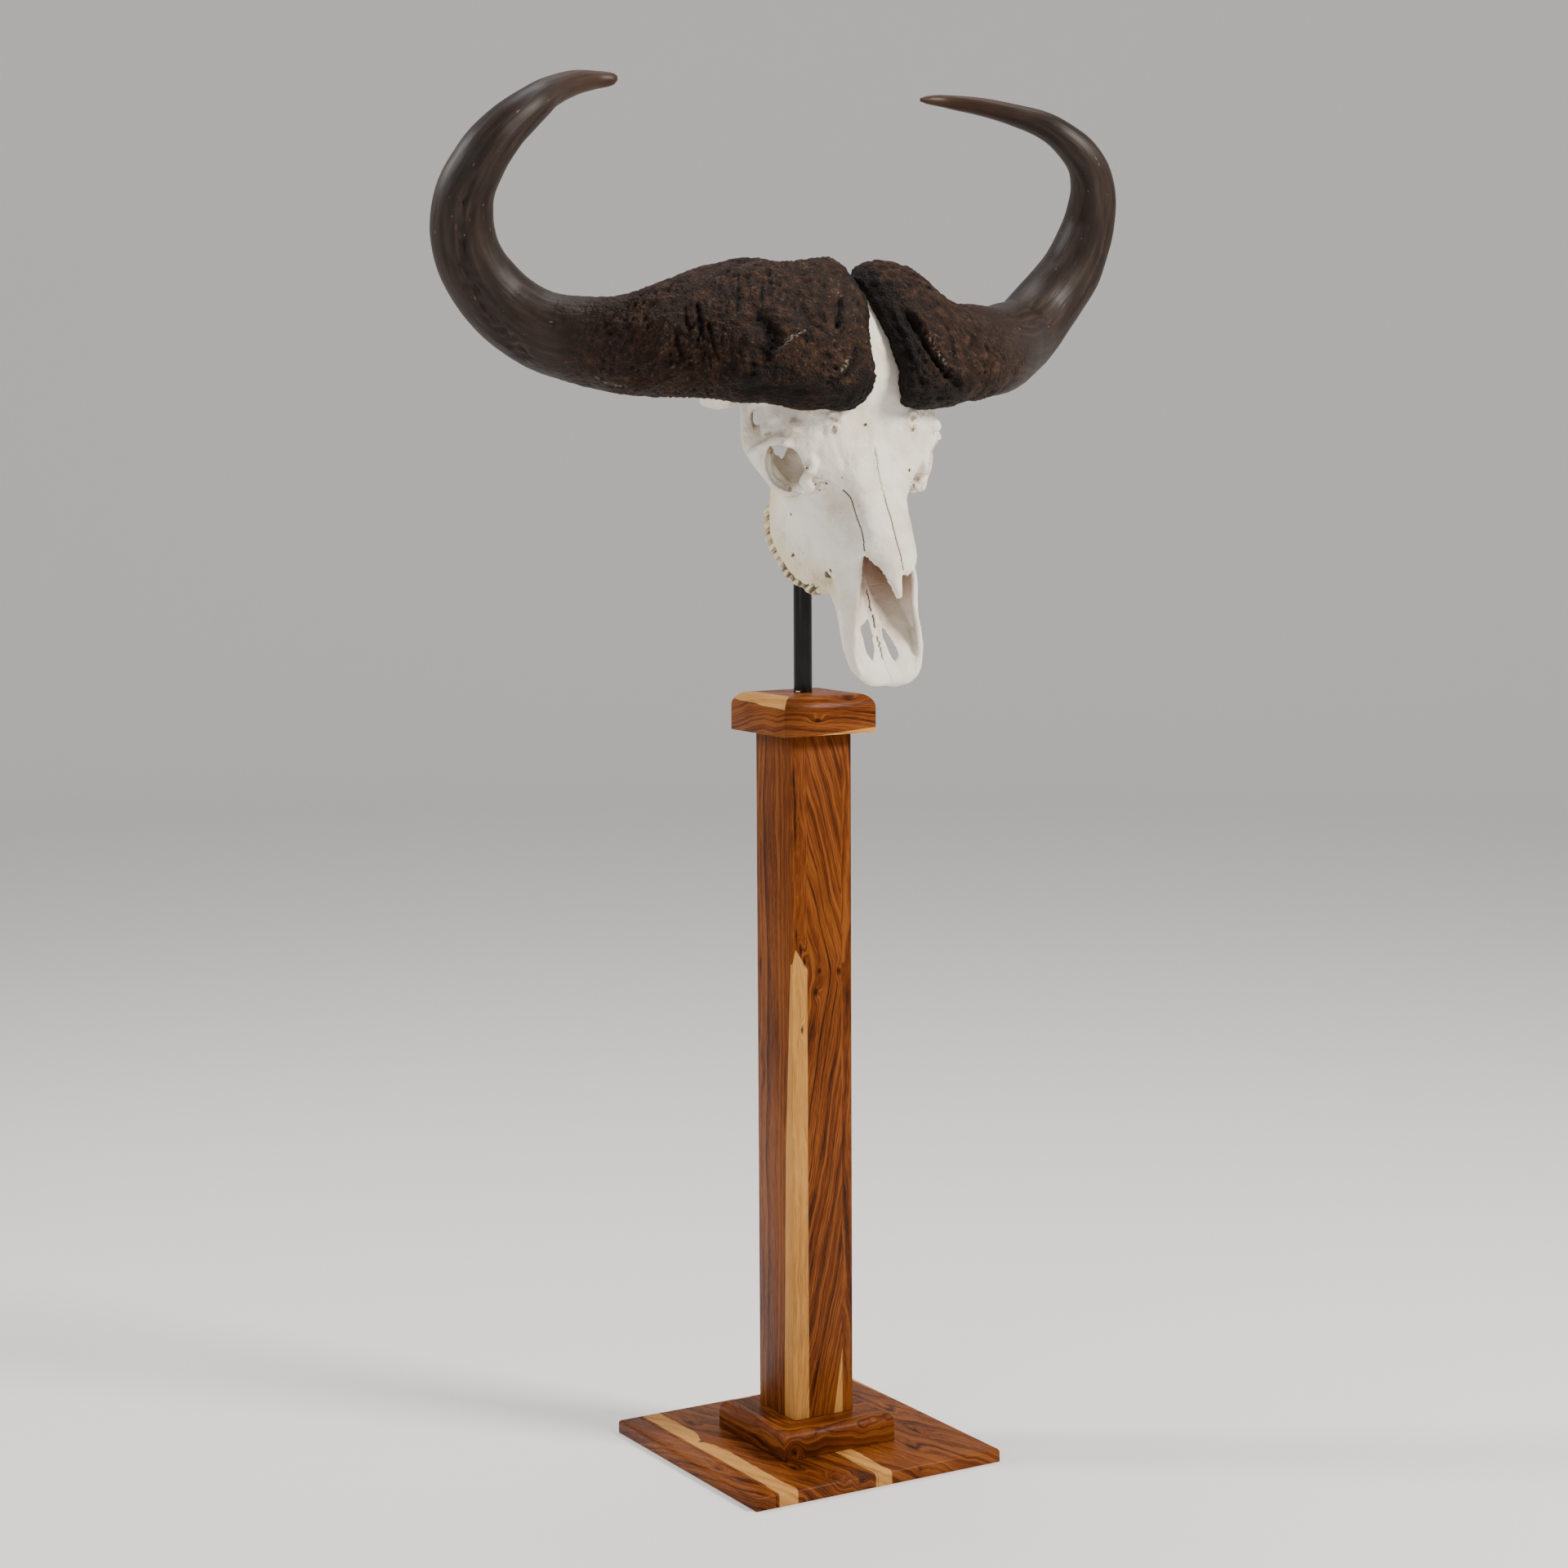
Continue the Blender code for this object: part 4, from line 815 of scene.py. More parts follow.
OCCIPUT_SIDE = ((0.100, 0.452, 0.050), (0.024, 0.030, 0.045))

holder = (
    Matrix.Rotation(SKULL_TURN, 4, "Z")
    @ Matrix.Translation((0.0, -MUZZLE_REACH, MUZZLE_HEIGHT))
    @ Matrix.Rotation(SKULL_TIP_UP, 4, "X")
)


def sided(point, side):
    """A point or direction on this side of the skull, or mirrored to the other one."""
    return Vector((point[0] * side, point[1], point[2]))


def smooth_row(points, steps, closed=False):
    """Points on the smooth curve through a row of points, so many steps to each stretch."""
    row = [Vector(point) for point in points]
    if closed:
        row = [row[-1]] + row + row[:2]
    else:
        row = [2.0 * row[0] - row[1]] + row + [2.0 * row[-1] - row[-2]]
    made = []
    for before, start, end, after in zip(row, row[1:], row[2:], row[3:]):
        for step in range(steps):
            t = step / steps
            line = 2.0 * start + (end - before) * t
            bend = (2.0 * before - 5.0 * start + 4.0 * end - after) * t ** 2
            turn = (3.0 * start - before - 3.0 * end + after) * t ** 3
            made.append((line + bend + turn) * 0.5)
    if not closed:
        made.append(row[-2])
    return made


def new_object(name, points, faces):
    """A mesh object from its points and faces."""
    mesh = bpy.data.meshes.new(name)
    mesh.from_pydata(points, [], faces)
    thing = bpy.data.objects.new(name, mesh)
    bpy.context.scene.collection.objects.link(thing)
    return thing


def faces_between(rows, across, closed):
    """Faces between rows of points, where closed makes each row a ring."""
    faces = []
    for index in range(rows - 1):
        for step in range(across if closed else across - 1):
            start = index * across + step
            follow = index * across + (step + 1) % across
            faces.append((start, follow, follow + across, start + across))
    return faces


def skin(name, rings):
    """A closed mesh object over a row of rings that have equal counts of points."""
    count = len(rings[0])
    points = [point for ring in rings for point in ring]
    ends = [tuple(range(count)), tuple(range(len(points) - count, len(points)))]
    thing = new_object(name, points, faces_between(len(rings), count, True) + ends)
    select_only(thing)
    bpy.ops.object.mode_set(mode="EDIT")
    bpy.ops.mesh.select_all(action="SELECT")
    bpy.ops.mesh.normals_make_consistent(inside=False)
    bpy.ops.object.mode_set(mode="OBJECT")
    return thing


def mirrored_sections(name, sections):
    """A mass that is the same left and right, from half outlines at places along the skull."""
    columns = []
    for place, *half in sections:
        full = list(half) + [(-x, z) for x, z in reversed(half[1:-1])]
        columns.append([(x, place, z) for x, z in full])
    lines = [smooth_row(line, 4) for line in zip(*columns)]
    return skin(name, [smooth_row(ring, 4, closed=True) for ring in zip(*lines)])


def bone_bar(name, stations, side, count=20):
    """A bent bar of bone with oval sections: one half width lies level across the bar."""
    centres = smooth_row([place for place, wide, deep in stations], 5)
    sizes = smooth_row([(wide, deep, 0.0) for place, wide, deep in stations], 5)
    rings = []
    for index, centre in enumerate(centres):
        ahead = (centres[min(index + 1, len(centres) - 1)] - centres[max(index - 1, 0)]).normalized()
        upright = Vector((0.0, 0.0, 1.0)) if abs(ahead.z) < 0.8 else Vector((0.0, 1.0, 0.0))
        across = ahead.cross(upright).normalized()
        upward = across.cross(ahead).normalized()
        ring = []
        for step in range(count):
            angle = 2.0 * math.pi * step / count
            level = across * math.cos(angle) * sizes[index].x
            steep = upward * math.sin(angle) * sizes[index].y
            ring.append(sided(centre + level + steep, side))
        rings.append(ring)
    return skin(name, rings)


def bone_plate(name, sections, thickness, side):
    """A curved plate of bone, from lines along its outer face and the step to its inner face."""
    columns = []
    for place, *face in sections:
        back = [(x + thickness[0], z + thickness[1]) for x, z in reversed(face)]
        columns.append([(x * side, place, z) for x, z in list(face) + back])
    return skin(name, list(zip(*[smooth_row(line, 5) for line in zip(*columns)])))


def bone_shell(name, rows, thickness, side):
    """A thin curved sheet of bone through rows of points."""
    columns = [smooth_row(line, 4) for line in zip(*rows)]
    fine = [smooth_row(row, 4) for row in zip(*columns)]
    points = [sided(point, side) for row in fine for point in row]
    sheet = new_object(name, points, faces_between(len(fine), len(fine[0]), False))
    apply_modifier(sheet, "SOLIDIFY", thickness=thickness, offset=0.0)
    return sheet


def nasal_bone(name, side, broken_end=None):
    """One nasal bone, which runs forward over the nose opening to its tip, or to where it broke off."""
    row = [NASAL_ROOT]
    row += [section for section in NASAL_SECTIONS if not broken_end or section[0] > broken_end[0]]
    if broken_end:
        row.append(broken_end)
    sections = []
    for place, half, middle, edge in row:
        bulge = middle - (middle - edge) * 0.25
        sections.append((place, (-0.001, middle), (half * 0.55, bulge), (half, edge)))
    return bone_plate(name, sections, NASAL_THICKNESS, side)


def round_mass(name, centre, half_sizes, side=1.0, axis=None):
    """A ball pulled out to its half sizes, its own x along the axis if there is one."""
    turn = sided(axis, side).to_track_quat("X", "Z").to_euler() if axis else (0.0, 0.0, 0.0)
    return add_primitive(
        bpy.ops.mesh.primitive_uv_sphere_add, name, segments=32, ring_count=20, radius=1.0,
        location=sided(centre, side), rotation=turn, scale=half_sizes)


def join_up(name, pieces):
    """Several objects as one, with its axes at the origin."""
    select_only(*pieces)
    bpy.ops.object.join()
    whole = bpy.context.object
    whole.name = name
    apply_place(whole)
    return whole


masses = [mirrored_sections("cranium", CRANIUM)]
hollows = [
    mirrored_sections("nose cavity", NASAL_CAVITY),
    mirrored_sections("choana", CHOANA),
    round_mass("foramen magnum", *FORAMEN_MAGNUM),
    round_mass("palate", *PALATE_HOLLOW),
]
thin_bones = [
    mirrored_sections("muzzle floor", PREMAXILLA_FLOOR),
    nasal_bone("right nasal", -1.0),
    nasal_bone("left nasal", 1.0, LEFT_NASAL_BREAK),
    bone_bar("vomer", VOMER, 1.0, 14),
]
for side in (-1.0, 1.0):
    masses += [bone_bar("bar", bar, side) for bar in (TOOTH_BEARER, MASTOID, PAROCCIPITAL, HORN_PEDICLE)]
    masses += [round_mass("knob", *knob, side) for knob in (BULLA, CONDYLE, FACIAL_TUBER, OCCIPUT_SIDE)]
    for hollow, axis in zip(ORBIT_HOLLOWS, (ORBIT_AXIS, None)):
        hollows.append(round_mass("orbit", *hollow, side, axis))
    hollows += [round_mass("temporal pit", *hollow, side) for hollow in TEMPORAL_HOLLOWS]
    for bar in (ZYGOMATIC_ARCH, POSTORBITAL_BAR, PTERYGOID, TEMPORAL_EDGE, TEMPORAL_ROOF, TEMPORAL_PLATE):
        thin_bones.append(bone_bar("thin bar", bar, side))
    thin_bones += [round_mass("rim lump", *lump, side) for lump in RIM_LUMPS]
    for floor in (ORBIT_FLOOR, TEMPORAL_FLOOR):
        thin_bones.append(bone_shell("floor", floor, SHELL_THICKNESS, side))
    thin_bones.append(bone_plate("nose wall", APERTURE_WALL, WALL_THICKNESS, side))
    thin_bones.append(add_primitive(
        bpy.ops.mesh.primitive_torus_add, "orbit rim", location=sided(ORBIT_CENTRE, side),
        rotation=sided(ORBIT_AXIS, side).to_track_quat("Z", "Y").to_euler(), major_radius=ORBIT_RING_RADIUS,
        minor_radius=ORBIT_RING_THICKNESS, major_segments=64, minor_segments=20))

hollow = join_up("skull_hollows", hollows)
apply_modifier(hollow, "REMESH", mode="VOXEL", voxel_size=BONE_GRAIN)
skull = join_up("skull_bone", masses)
apply_modifier(skull, "REMESH", mode="VOXEL", voxel_size=BONE_GRAIN)
cut_away(skull, hollow)
skull = join_up("skull_bone", [skull] + thin_bones)
apply_modifier(skull, "REMESH", mode="VOXEL", voxel_size=BONE_GRAIN)
apply_modifier(skull, "SMOOTH", factor=0.5, iterations=5)

# Openings in the bone: the two slits through the floor of the muzzle, the holes where nerves and
# vessels came out, the bore for the post, and a trough for each row of teeth. Spots are places in the
# photograph's frame of 1920 by 1920, looked up on the bone from the camera.
PICTURE = 1920.0
FOCAL = CAMERA_LENS / CAMERA_SENSOR * PICTURE
POST_CLEARANCE = 0.0003
SLITS = (
    ((1054, 769), (1058, 764), (1063, 759), (1067, 777), (1070, 797), (1067, 813), (1063, 808), (1058, 787)),
    ((1080, 769), (1086, 776), (1093, 787), (1099, 798), (1099, 806), (1095, 810), (1090, 803), (1084, 787)),
)
SLIT_PLACE = (0.0, 0.050, 0.004)
SLIT_REACH = (-0.018, 0.045)
ORBIT_EDGE = (
    (943, 546), (938, 554), (936, 566), (940, 581), (948, 593), (961, 601), (973, 603), (983, 598),
    (979, 590), (986, 574), (979, 561), (970, 551), (956, 545),
)
ORBIT_REACH = (-0.040, 0.012)
ORBIT_WINDOW = ((943, 545), (954, 546), (965, 548), (961, 555), (957, 562), (950, 554))
WINDOW_REACH = (-0.010, 0.085)
LEFT_EYE_BACK = 0.008

# A hole is a spot, its two half widths, its half depth, and whether both sides have it.
NERVE_HOLES = (
    ((1021, 513), 0.0052, 0.0032, 0.0040, True),
    ((1021, 527), 0.0032, 0.0022, 0.0034, True),
    ((1012, 705), 0.0044, 0.0034, 0.016, True),
    ((1017, 699), 0.0030, 0.0013, 0.006, False),
    ((993, 605), 0.0022, 0.0018, 0.006, False),
    ((1012, 592), 0.0019, 0.0015, 0.005, False),
    ((1003, 600), 0.0016, 0.0011, 0.004, False),
    ((998, 592), 0.0012, 0.0010, 0.004, False),
    ((1007, 582), 0.0014, 0.0011, 0.004, False),
    ((1052, 619), 0.0014, 0.0014, 0.005, False),
    ((1029, 628), 0.0010, 0.0010, 0.004, False),
    ((968, 630), 0.0011, 0.0009, 0.004, False),
    ((1114, 576), 0.0016, 0.0020, 0.005, False),
    ((970, 680), 0.0013, 0.0010, 0.004, False),
    ((988, 573), 0.0016, 0.0022, 0.005, False),
    ((1031, 585), 0.0008, 0.0008, 0.003, False),
    ((1060, 520), 0.0007, 0.0007, 0.003, False),
)

# A tooth is its name, its start along the skull and its count of lobes.
TEETH = (
    ("p2", 0.136, 1),
    ("p3", 0.155, 1),
    ("p4", 0.174, 1),
    ("m1", 0.194, 2),
    ("m2", 0.219, 2),
    ("m3", 0.247, 2),
)
TOOTH_ROW_END = 0.281
TOOTH_ROW = (
    (0.0490, 0.130, -0.030),
    (0.0525, 0.150, -0.045),
    (0.0555, 0.180, -0.070),
    (0.0575, 0.210, -0.084),
    (0.0585, 0.240, -0.091),
    (0.0580, 0.265, -0.085),
    (0.0560, 0.290, -0.069),
)
TOOTH_HALF_BREADTH = 0.0100
TOOTH_HEIGHT = 0.027
SOCKET_DEPTH = 0.020
SOCKET_STEPS = 28
camera_frame = (heading @ tilt @ roll).to_3x3()
to_skull = holder.inverted()


def skin_finder(thing):
    """Looks up the nearest point, or the point under a ray, on an object's present mesh."""
    shape = bmesh.new()
    shape.from_mesh(thing.data)
    finder = BVHTree.FromBMesh(shape)
    shape.free()
    return finder


def sight_at(across, down):
    """The line of sight through a place in the picture, in the skull's axes."""
    sight = Vector(((across - PICTURE / 2.0) / FOCAL, (PICTURE / 2.0 - down) / FOCAL, -1.0))
    return to_skull.to_3x3() @ (camera_frame @ sight)


def seen_at(spot, finder):
    """The point and the normal on the bone, in the skull's axes, under a place in the picture."""
    return finder.ray_cast(to_skull @ Vector(CAMERA_PLACE), sight_at(*spot).normalized())[:2]


def seen_row(spots, finder):
    """The points on the bone under a row of places in the picture, without those that miss it."""
    return [point for point in (seen_at(spot, finder)[0] for spot in spots) if point is not None]


def sight_cutter(name, spots, middle, reach, side=1.0):
    """A block whose outline is a shape in the picture, drawn out along the line of sight."""
    start = to_skull @ Vector(CAMERA_PLACE)
    depth = (Vector(middle) - start).dot(sight_at(PICTURE / 2.0, PICTURE / 2.0))
    outline = smooth_row([(*spot, 0.0) for spot in spots], 4, closed=True)
    rings = []
    for step in reach:
        rings.append([sided(start + sight_at(spot.x, spot.y) * (depth + step), side) for spot in outline])
    return skin(name, rings)


def row_point(place):
    """The middle of the tooth row and the height of its chewing edge at a place along the skull."""
    line = smooth_row(TOOTH_ROW, 8)
    for near, far in zip(line, line[1:]):
        if far.y >= place:
            break
    return near.lerp(far, (place - near.y) / (far.y - near.y))


finder = skin_finder(skull)
for spots in SLITS:
    cut_away(skull, sight_cutter("muzzle slit", spots, SLIT_PLACE, SLIT_REACH))
for side in (-1.0, 1.0):
    for spots, reach in ((ORBIT_EDGE, ORBIT_REACH), (ORBIT_WINDOW, WINDOW_REACH)):
        opening = sight_cutter("eye opening", spots, sided(ORBIT_CENTRE, -1.0), reach, -side)
        if side > 0.0:
            opening.data.transform(Matrix.Translation((0.0, LEFT_EYE_BACK, 0.0)))
        cut_away(skull, opening)
    rings = []
    for step in range(SOCKET_STEPS + 1):
        middle = row_point(TEETH[0][1] + (TOOTH_ROW_END - TEETH[0][1]) * step / SOCKET_STEPS)
        top = middle.z + TOOTH_HEIGHT
        low = middle.z - SOCKET_DEPTH
        half = TOOTH_HALF_BREADTH
        box = ((-half, top), (half, top), (half, low), (-half, low))
        rings.append([Vector(((middle.x + x) * side, middle.y, z)) for x, z in box])
    cut_away(skull, skin("tooth trough", rings))

drills = []
for spot, half_across, half_along, depth, on_both in NERVE_HOLES:
    point, normal = seen_at(spot, finder)
    for side in (1.0, -1.0) if on_both else (1.0,):
        drills.append(add_primitive(
            bpy.ops.mesh.primitive_uv_sphere_add, "drill", segments=20, ring_count=12, radius=1.0,
            location=sided(point, side), rotation=sided(normal, side).to_track_quat("Z", "Y").to_euler(),
            scale=(half_across, half_along, depth)))
cut_away(skull, join_up("nerve holes", drills), "EXACT")

bore = add_primitive(
    bpy.ops.mesh.primitive_cylinder_add, "bore", vertices=64, radius=post_radius + POST_CLEARANCE,
    depth=post_high.z - cap_high.z, location=(0.0, 0.0, (post_high.z + cap_high.z) / 2.0 + POST_CLEARANCE))
bore.data.transform(to_skull @ bore.matrix_world)
bore.matrix_world = Matrix.Identity(4)
cut_away(skull, bore)

# Seams and surface of the bone: the plates of the skull meet in fine zigzag seams, open and dark down
# the nose. The bleached surface is smooth on the forehead, and pitted by the eye and the tooth row.
SKULL_TRIANGLES = 188000
SEAM_STEP = 0.0006
SEAM_LIP = 2.6

# A seam is its name, whose length seeds its waves, its row, its half width, its depth, how far it waves
# and whether both sides have it.
SEAMS = (
    ("nose midline, open", ((1083, 606), (1088, 626), (1094, 646), (1100, 667), (1105, 690), (1107, 699)),
     0.00075, 0.0022, 0.0004, False),
    ("nose midline, closed", ((1071, 549), (1074, 566), (1076, 580), (1083, 606)),
     0.0008, 0.0012, 0.0012, False),
    ("nasal side", (
        (1032, 600), (1040, 608), (1044, 617), (1049, 633), (1054, 647), (1057, 661), (1059, 675)),
     0.00085, 0.0024, 0.0004, True),
    ("muzzle midline", ((1074, 779), (1077, 790), (1079, 800), (1081, 808)),
     0.0008, 0.0022, 0.0012, False),
    ("muzzle end midline", ((1081, 808), (1086, 822), (1092, 836)),
     0.0006, 0.0008, 0.0006, False),
    ("muzzle floor midline", ((1061, 720), (1063, 730), (1065, 742), (1066, 748)),
     0.0008, 0.0022, 0.0012, False),
    ("gap by the vomer", ((1069, 753), (1070, 760), (1072, 768)),
     0.0011, 0.0020, 0.0010, False),
    ("muzzle floor, left edge", ((1076, 746), (1078, 760), (1082, 772)),
     0.0006, 0.0006, 0.0010, False),
    ("cheek crack", ((996, 628), (1003, 636), (1008, 648)),
     0.0005, 0.0006, 0.0012, False),
    ("cheek", ((961, 608), (972, 608), (985, 605), (997, 599), (1008, 590), (1016, 588)),
     0.0008, 0.0009, 0.0012, True),
    ("eye corner", ((986, 566), (990, 575), (996, 583), (1008, 586)),
     0.0008, 0.0009, 0.0010, True),
    ("crack in the nose floor", ((1058, 714), (1066, 717), (1080, 715)),
     0.0005, 0.0006, 0.0003, False),
)
BODY_SEAMS = (
    ("palate midline", (
        (0.0, 0.118, -0.010), (0.0, 0.160, -0.012), (0.0, 0.220, -0.008), (0.0, 0.270, -0.002)),
     0.0007, 0.0009, 0.0010, False),
    ("palate cross seam", ((0.003, 0.226, -0.008), (0.020, 0.222, -0.010), (0.034, 0.214, -0.020)),
     0.0007, 0.0008, 0.0012, True),
    ("nape", ((0.004, 0.512, 0.112), (0.040, 0.500, 0.104), (0.078, 0.484, 0.084), (0.104, 0.468, 0.052)),
     0.0008, 0.0009, 0.0016, True),
    ("skull base", ((0.004, 0.410, -0.010), (0.022, 0.408, -0.014), (0.034, 0.402, -0.014)),
     0.0007, 0.0008, 0.0010, True),
    ("muzzle side", (
        (0.046, 0.118, 0.062), (0.058, 0.106, 0.034), (0.056, 0.104, 0.010), (0.050, 0.108, -0.006)),
     0.0006, 0.0005, 0.0012, True),
)
SEAM_WAVES = 260.0
LIP_SHARE = 0.12
DARK_DEPTH = 0.0016
WORN_HEIGHT = 0.0012
PIT_SCALE = 150.0
FAT_REACH = 0.030
SPLIT_REACHES = (0.0042, 0.0024)

# A swell is its size and height. A channel is a row, its half width and its depth, and a rough place is
# a spot or a point, how far it reaches and how high its grit stands.
SWELLS = ((0.045, 0.0018), (0.017, 0.0013), (0.0065, 0.0005))
ROUGH_PLACES = (
    ((1003, 596), 0.021, 0.0020),
    ((989, 578), 0.014, 0.0016),
    ((975, 603), 0.014, 0.0014),
    ((958, 536), 0.026, 0.0010),
    ((985, 530), 0.030, 0.0008),
    ((1020, 518), 0.022, 0.0012),
    ((1020, 640), 0.024, 0.0007),
    ((975, 680), 0.034, 0.0022),
    ((1003, 708), 0.024, 0.0028),
    ((955, 655), 0.026, 0.0019),
    ((1000, 500), 0.024, 0.0014),
    ((1052, 560), 0.030, 0.0005),
    ((912, 530), 0.020, 0.0014),
)
CHANNELS = (
    (((1012, 515), (1014, 509), (1020, 505), (1027, 507), (1030, 515)), 0.0024, -0.0030),
    (((1014, 528), (1017, 522), (1022, 520), (1027, 524)), 0.0020, -0.0024),
    (((1022, 520), (1023, 535), (1027, 552), (1034, 570)), 0.0045, 0.0016),
    (((1008, 528), (1002, 548), (1001, 566)), 0.0055, 0.0014),
    (((1062, 505), (1060, 540), (1062, 575)), 0.0100, 0.0012),
    (((962, 618), (985, 622), (1010, 640), (1030, 668)), 0.0075, 0.0014),
    (((1000, 610), (1018, 650), (1028, 690)), 0.0065, 0.0010),
)
ROUGH_SPOTS = (
    ((0.052, 0.240, 0.070), 0.016, 0.0008),
    ((0.060, 0.150, -0.012), 0.020, 0.0009),
    ((0.108, 0.300, 0.086), 0.016, 0.0008),
    ((0.066, 0.215, -0.040), 0.030, 0.0006),
    ((0.0, 0.500, 0.080), 0.050, 0.0010),
)


def seam_points(name, row, waviness, finder):
    """Closely spaced points along a seam, waved from side to side and laid on the bone."""
    line = smooth_row(row, 24)
    made = []
    gone = 0.0
    for near, far in zip(line, line[1:]):
        count = max(1, round((far - near).length / SEAM_STEP))
        for step in range(count):
            point = near.lerp(far, step / count)
            gone += (far - near).length / count
            found, normal, face, distance = finder.find_nearest(point)
            sideways = (far - near).cross(normal).normalized()
            wave = noise.noise(Vector((gone * SEAM_WAVES, len(name), 0.0))) * waviness * 2.0
            made.append(finder.find_nearest(found + sideways * wave)[0])
    return made


def laid_line(points):
    """A row of points that can be asked which one is nearest, and how far off it is."""
    line = KDTree(len(points))
    for index, point in enumerate(points):
        line.insert(point, index)
    line.balance()
    return line


finder = skin_finder(skull)
rows = [(name, seen_row(spots, finder), *sizes) for name, spots, *sizes in SEAMS]
marks = []
for name, row, width, depth, waviness, on_both in (*rows, *BODY_SEAMS):
    for side in (1.0, -1.0) if on_both else (1.0,):
        points = seam_points(name, [sided(point, side) for point in row], waviness, finder)
        marks += [(point, width, depth) for point in points]
seam_line = laid_line([point for point, width, depth in marks])

rough_spots = []
for centre, reach, height in ROUGH_SPOTS:
    for side in (-1.0, 1.0) if centre[0] else (1.0,):
        rough_spots.append((sided(centre, side), reach, height))
for spot, reach, height in ROUGH_PLACES:
    for point in seen_row([spot], finder):
        rough_spots += [(sided(point, side), reach, height) for side in (1.0, -1.0)]
channels = []
for spots, width, depth in CHANNELS:
    for side in (1.0, -1.0):
        row = smooth_row([sided(point, side) for point in seen_row(spots, finder)], 12)
        channels += [(point, width, depth) for point in row]
channel_line = laid_line([point for point, width, depth in channels])

shape = bmesh.new()
shape.from_mesh(skull.data)
for reach in SPLIT_REACHES:
    near_seam = []
    for edge in shape.edges:
        middle = (edge.verts[0].co + edge.verts[1].co) / 2.0
        if seam_line.find(middle)[2] < reach:
            near_seam.append(edge)
    bmesh.ops.subdivide_edges(shape, edges=near_seam, cuts=1, use_grid_fill=True)
bmesh.ops.triangulate(shape, faces=[face for face in shape.faces if len(face.verts) > 4])
shape.normal_update()
dark, worn, fatty = [shape.verts.layers.float.new(name) for name in ("seam", "rough", "fat")]
teeth_line = [sided((point.x, point.y, point.z + TOOTH_HEIGHT), side) for side in (-1.0, 1.0)
              for point in smooth_row(TOOTH_ROW, 3)]
moves = []
for vertex in shape.verts:
    place = vertex.co
    lift = sum(noise.noise(place / size + Vector((7.0, 3.0, 5.0))) * height for size, height in SWELLS)
    rough = 0.0
    for centre, reach, height in rough_spots:
        far = (place - centre).length / reach
        if far < 1.0:
            fade = (1.0 - far * far) ** 2
            pits = noise.ridged_multi_fractal(place * PIT_SCALE, 0.8, 2.1, 3.0, 1.0, 2.0) - 1.0
            lift -= pits * height * fade
            rough = max(rough, fade * min(1.0, height / WORN_HEIGHT))
    found, index, far = channel_line.find(place)
    spot, width, depth = channels[index]
    lift -= math.exp(-(far / width) ** 2) * depth
    found, index, far = seam_line.find(place)
    mark, width, depth = marks[index]
    groove = math.exp(-(far / width) ** 2)
    lip = math.exp(-(far / (width * SEAM_LIP)) ** 2) - groove
    lift += lip * depth * LIP_SHARE - groove * depth
    vertex[dark] = groove * min(1.0, depth / DARK_DEPTH)
    vertex[worn] = rough
    near_teeth = min((place - point).length for point in teeth_line)
    vertex[fatty] = math.exp(-(near_teeth / FAT_REACH) ** 2)
    moves.append((vertex, vertex.normal * lift))
for vertex, move in moves:
    vertex.co += move
shape.to_mesh(skull.data)
shape.free()
triangles = sum(len(face.vertices) - 2 for face in skull.data.polygons)
apply_modifier(skull, "DECIMATE", ratio=SKULL_TRIANGLES / triangles)

# How far each point of the bone is shut in by the bone round it, felt with a few short lines, and how far it
# looks into the nose. The first sets where shade is painted into the bone's hollows.
FEELER = 0.070
FEELER_RINGS = ((0.35, 4), (0.80, 5))
FEELER_LIFT = 0.0006
NOSE_MIDDLE = 0.045
NOSE_RADIUS = 0.058
NOSE_STARTS = 0.070
NOSE_FADE = 0.090
NOSE_ENDS = 0.290
feelers = [Vector((0.0, 0.0, 1.0))]
for slant, count in FEELER_RINGS:
    for step in range(count):
        angle = 2.0 * math.pi * (step + slant) / count
        across = (math.cos(angle) * slant, math.sin(angle) * slant)
        feelers.append(Vector((*across, math.sqrt(1.0 - slant ** 2))))
finder = skin_finder(skull)
shut_in = skull.data.attributes.new("inside", "FLOAT", "POINT")
in_nose = skull.data.attributes.new("nose", "FLOAT", "POINT")
for vertex in skull.data.vertices:
    turn = vertex.normal.to_track_quat("Z", "Y")
    start = vertex.co + vertex.normal * FEELER_LIFT
    near = 0.0
    for feeler in feelers:
        found, normal, index, far = finder.ray_cast(start, turn @ feeler, FEELER)
        if found is not None:
            near += 1.0 - far / FEELER
    shut_in.data[vertex.index].value = near / len(feelers)
    inward = Vector((0.0, vertex.co.y, NOSE_MIDDLE)) - vertex.co
    if inward.length < NOSE_RADIUS and NOSE_STARTS < vertex.co.y < NOSE_ENDS:
        facing = max(0.0, vertex.normal.dot(inward.normalized()))
        in_nose.data[vertex.index].value = facing * min(1.0, (vertex.co.y - NOSE_STARTS) / NOSE_FADE)
skull.data.transform(holder)
skull.data.update()
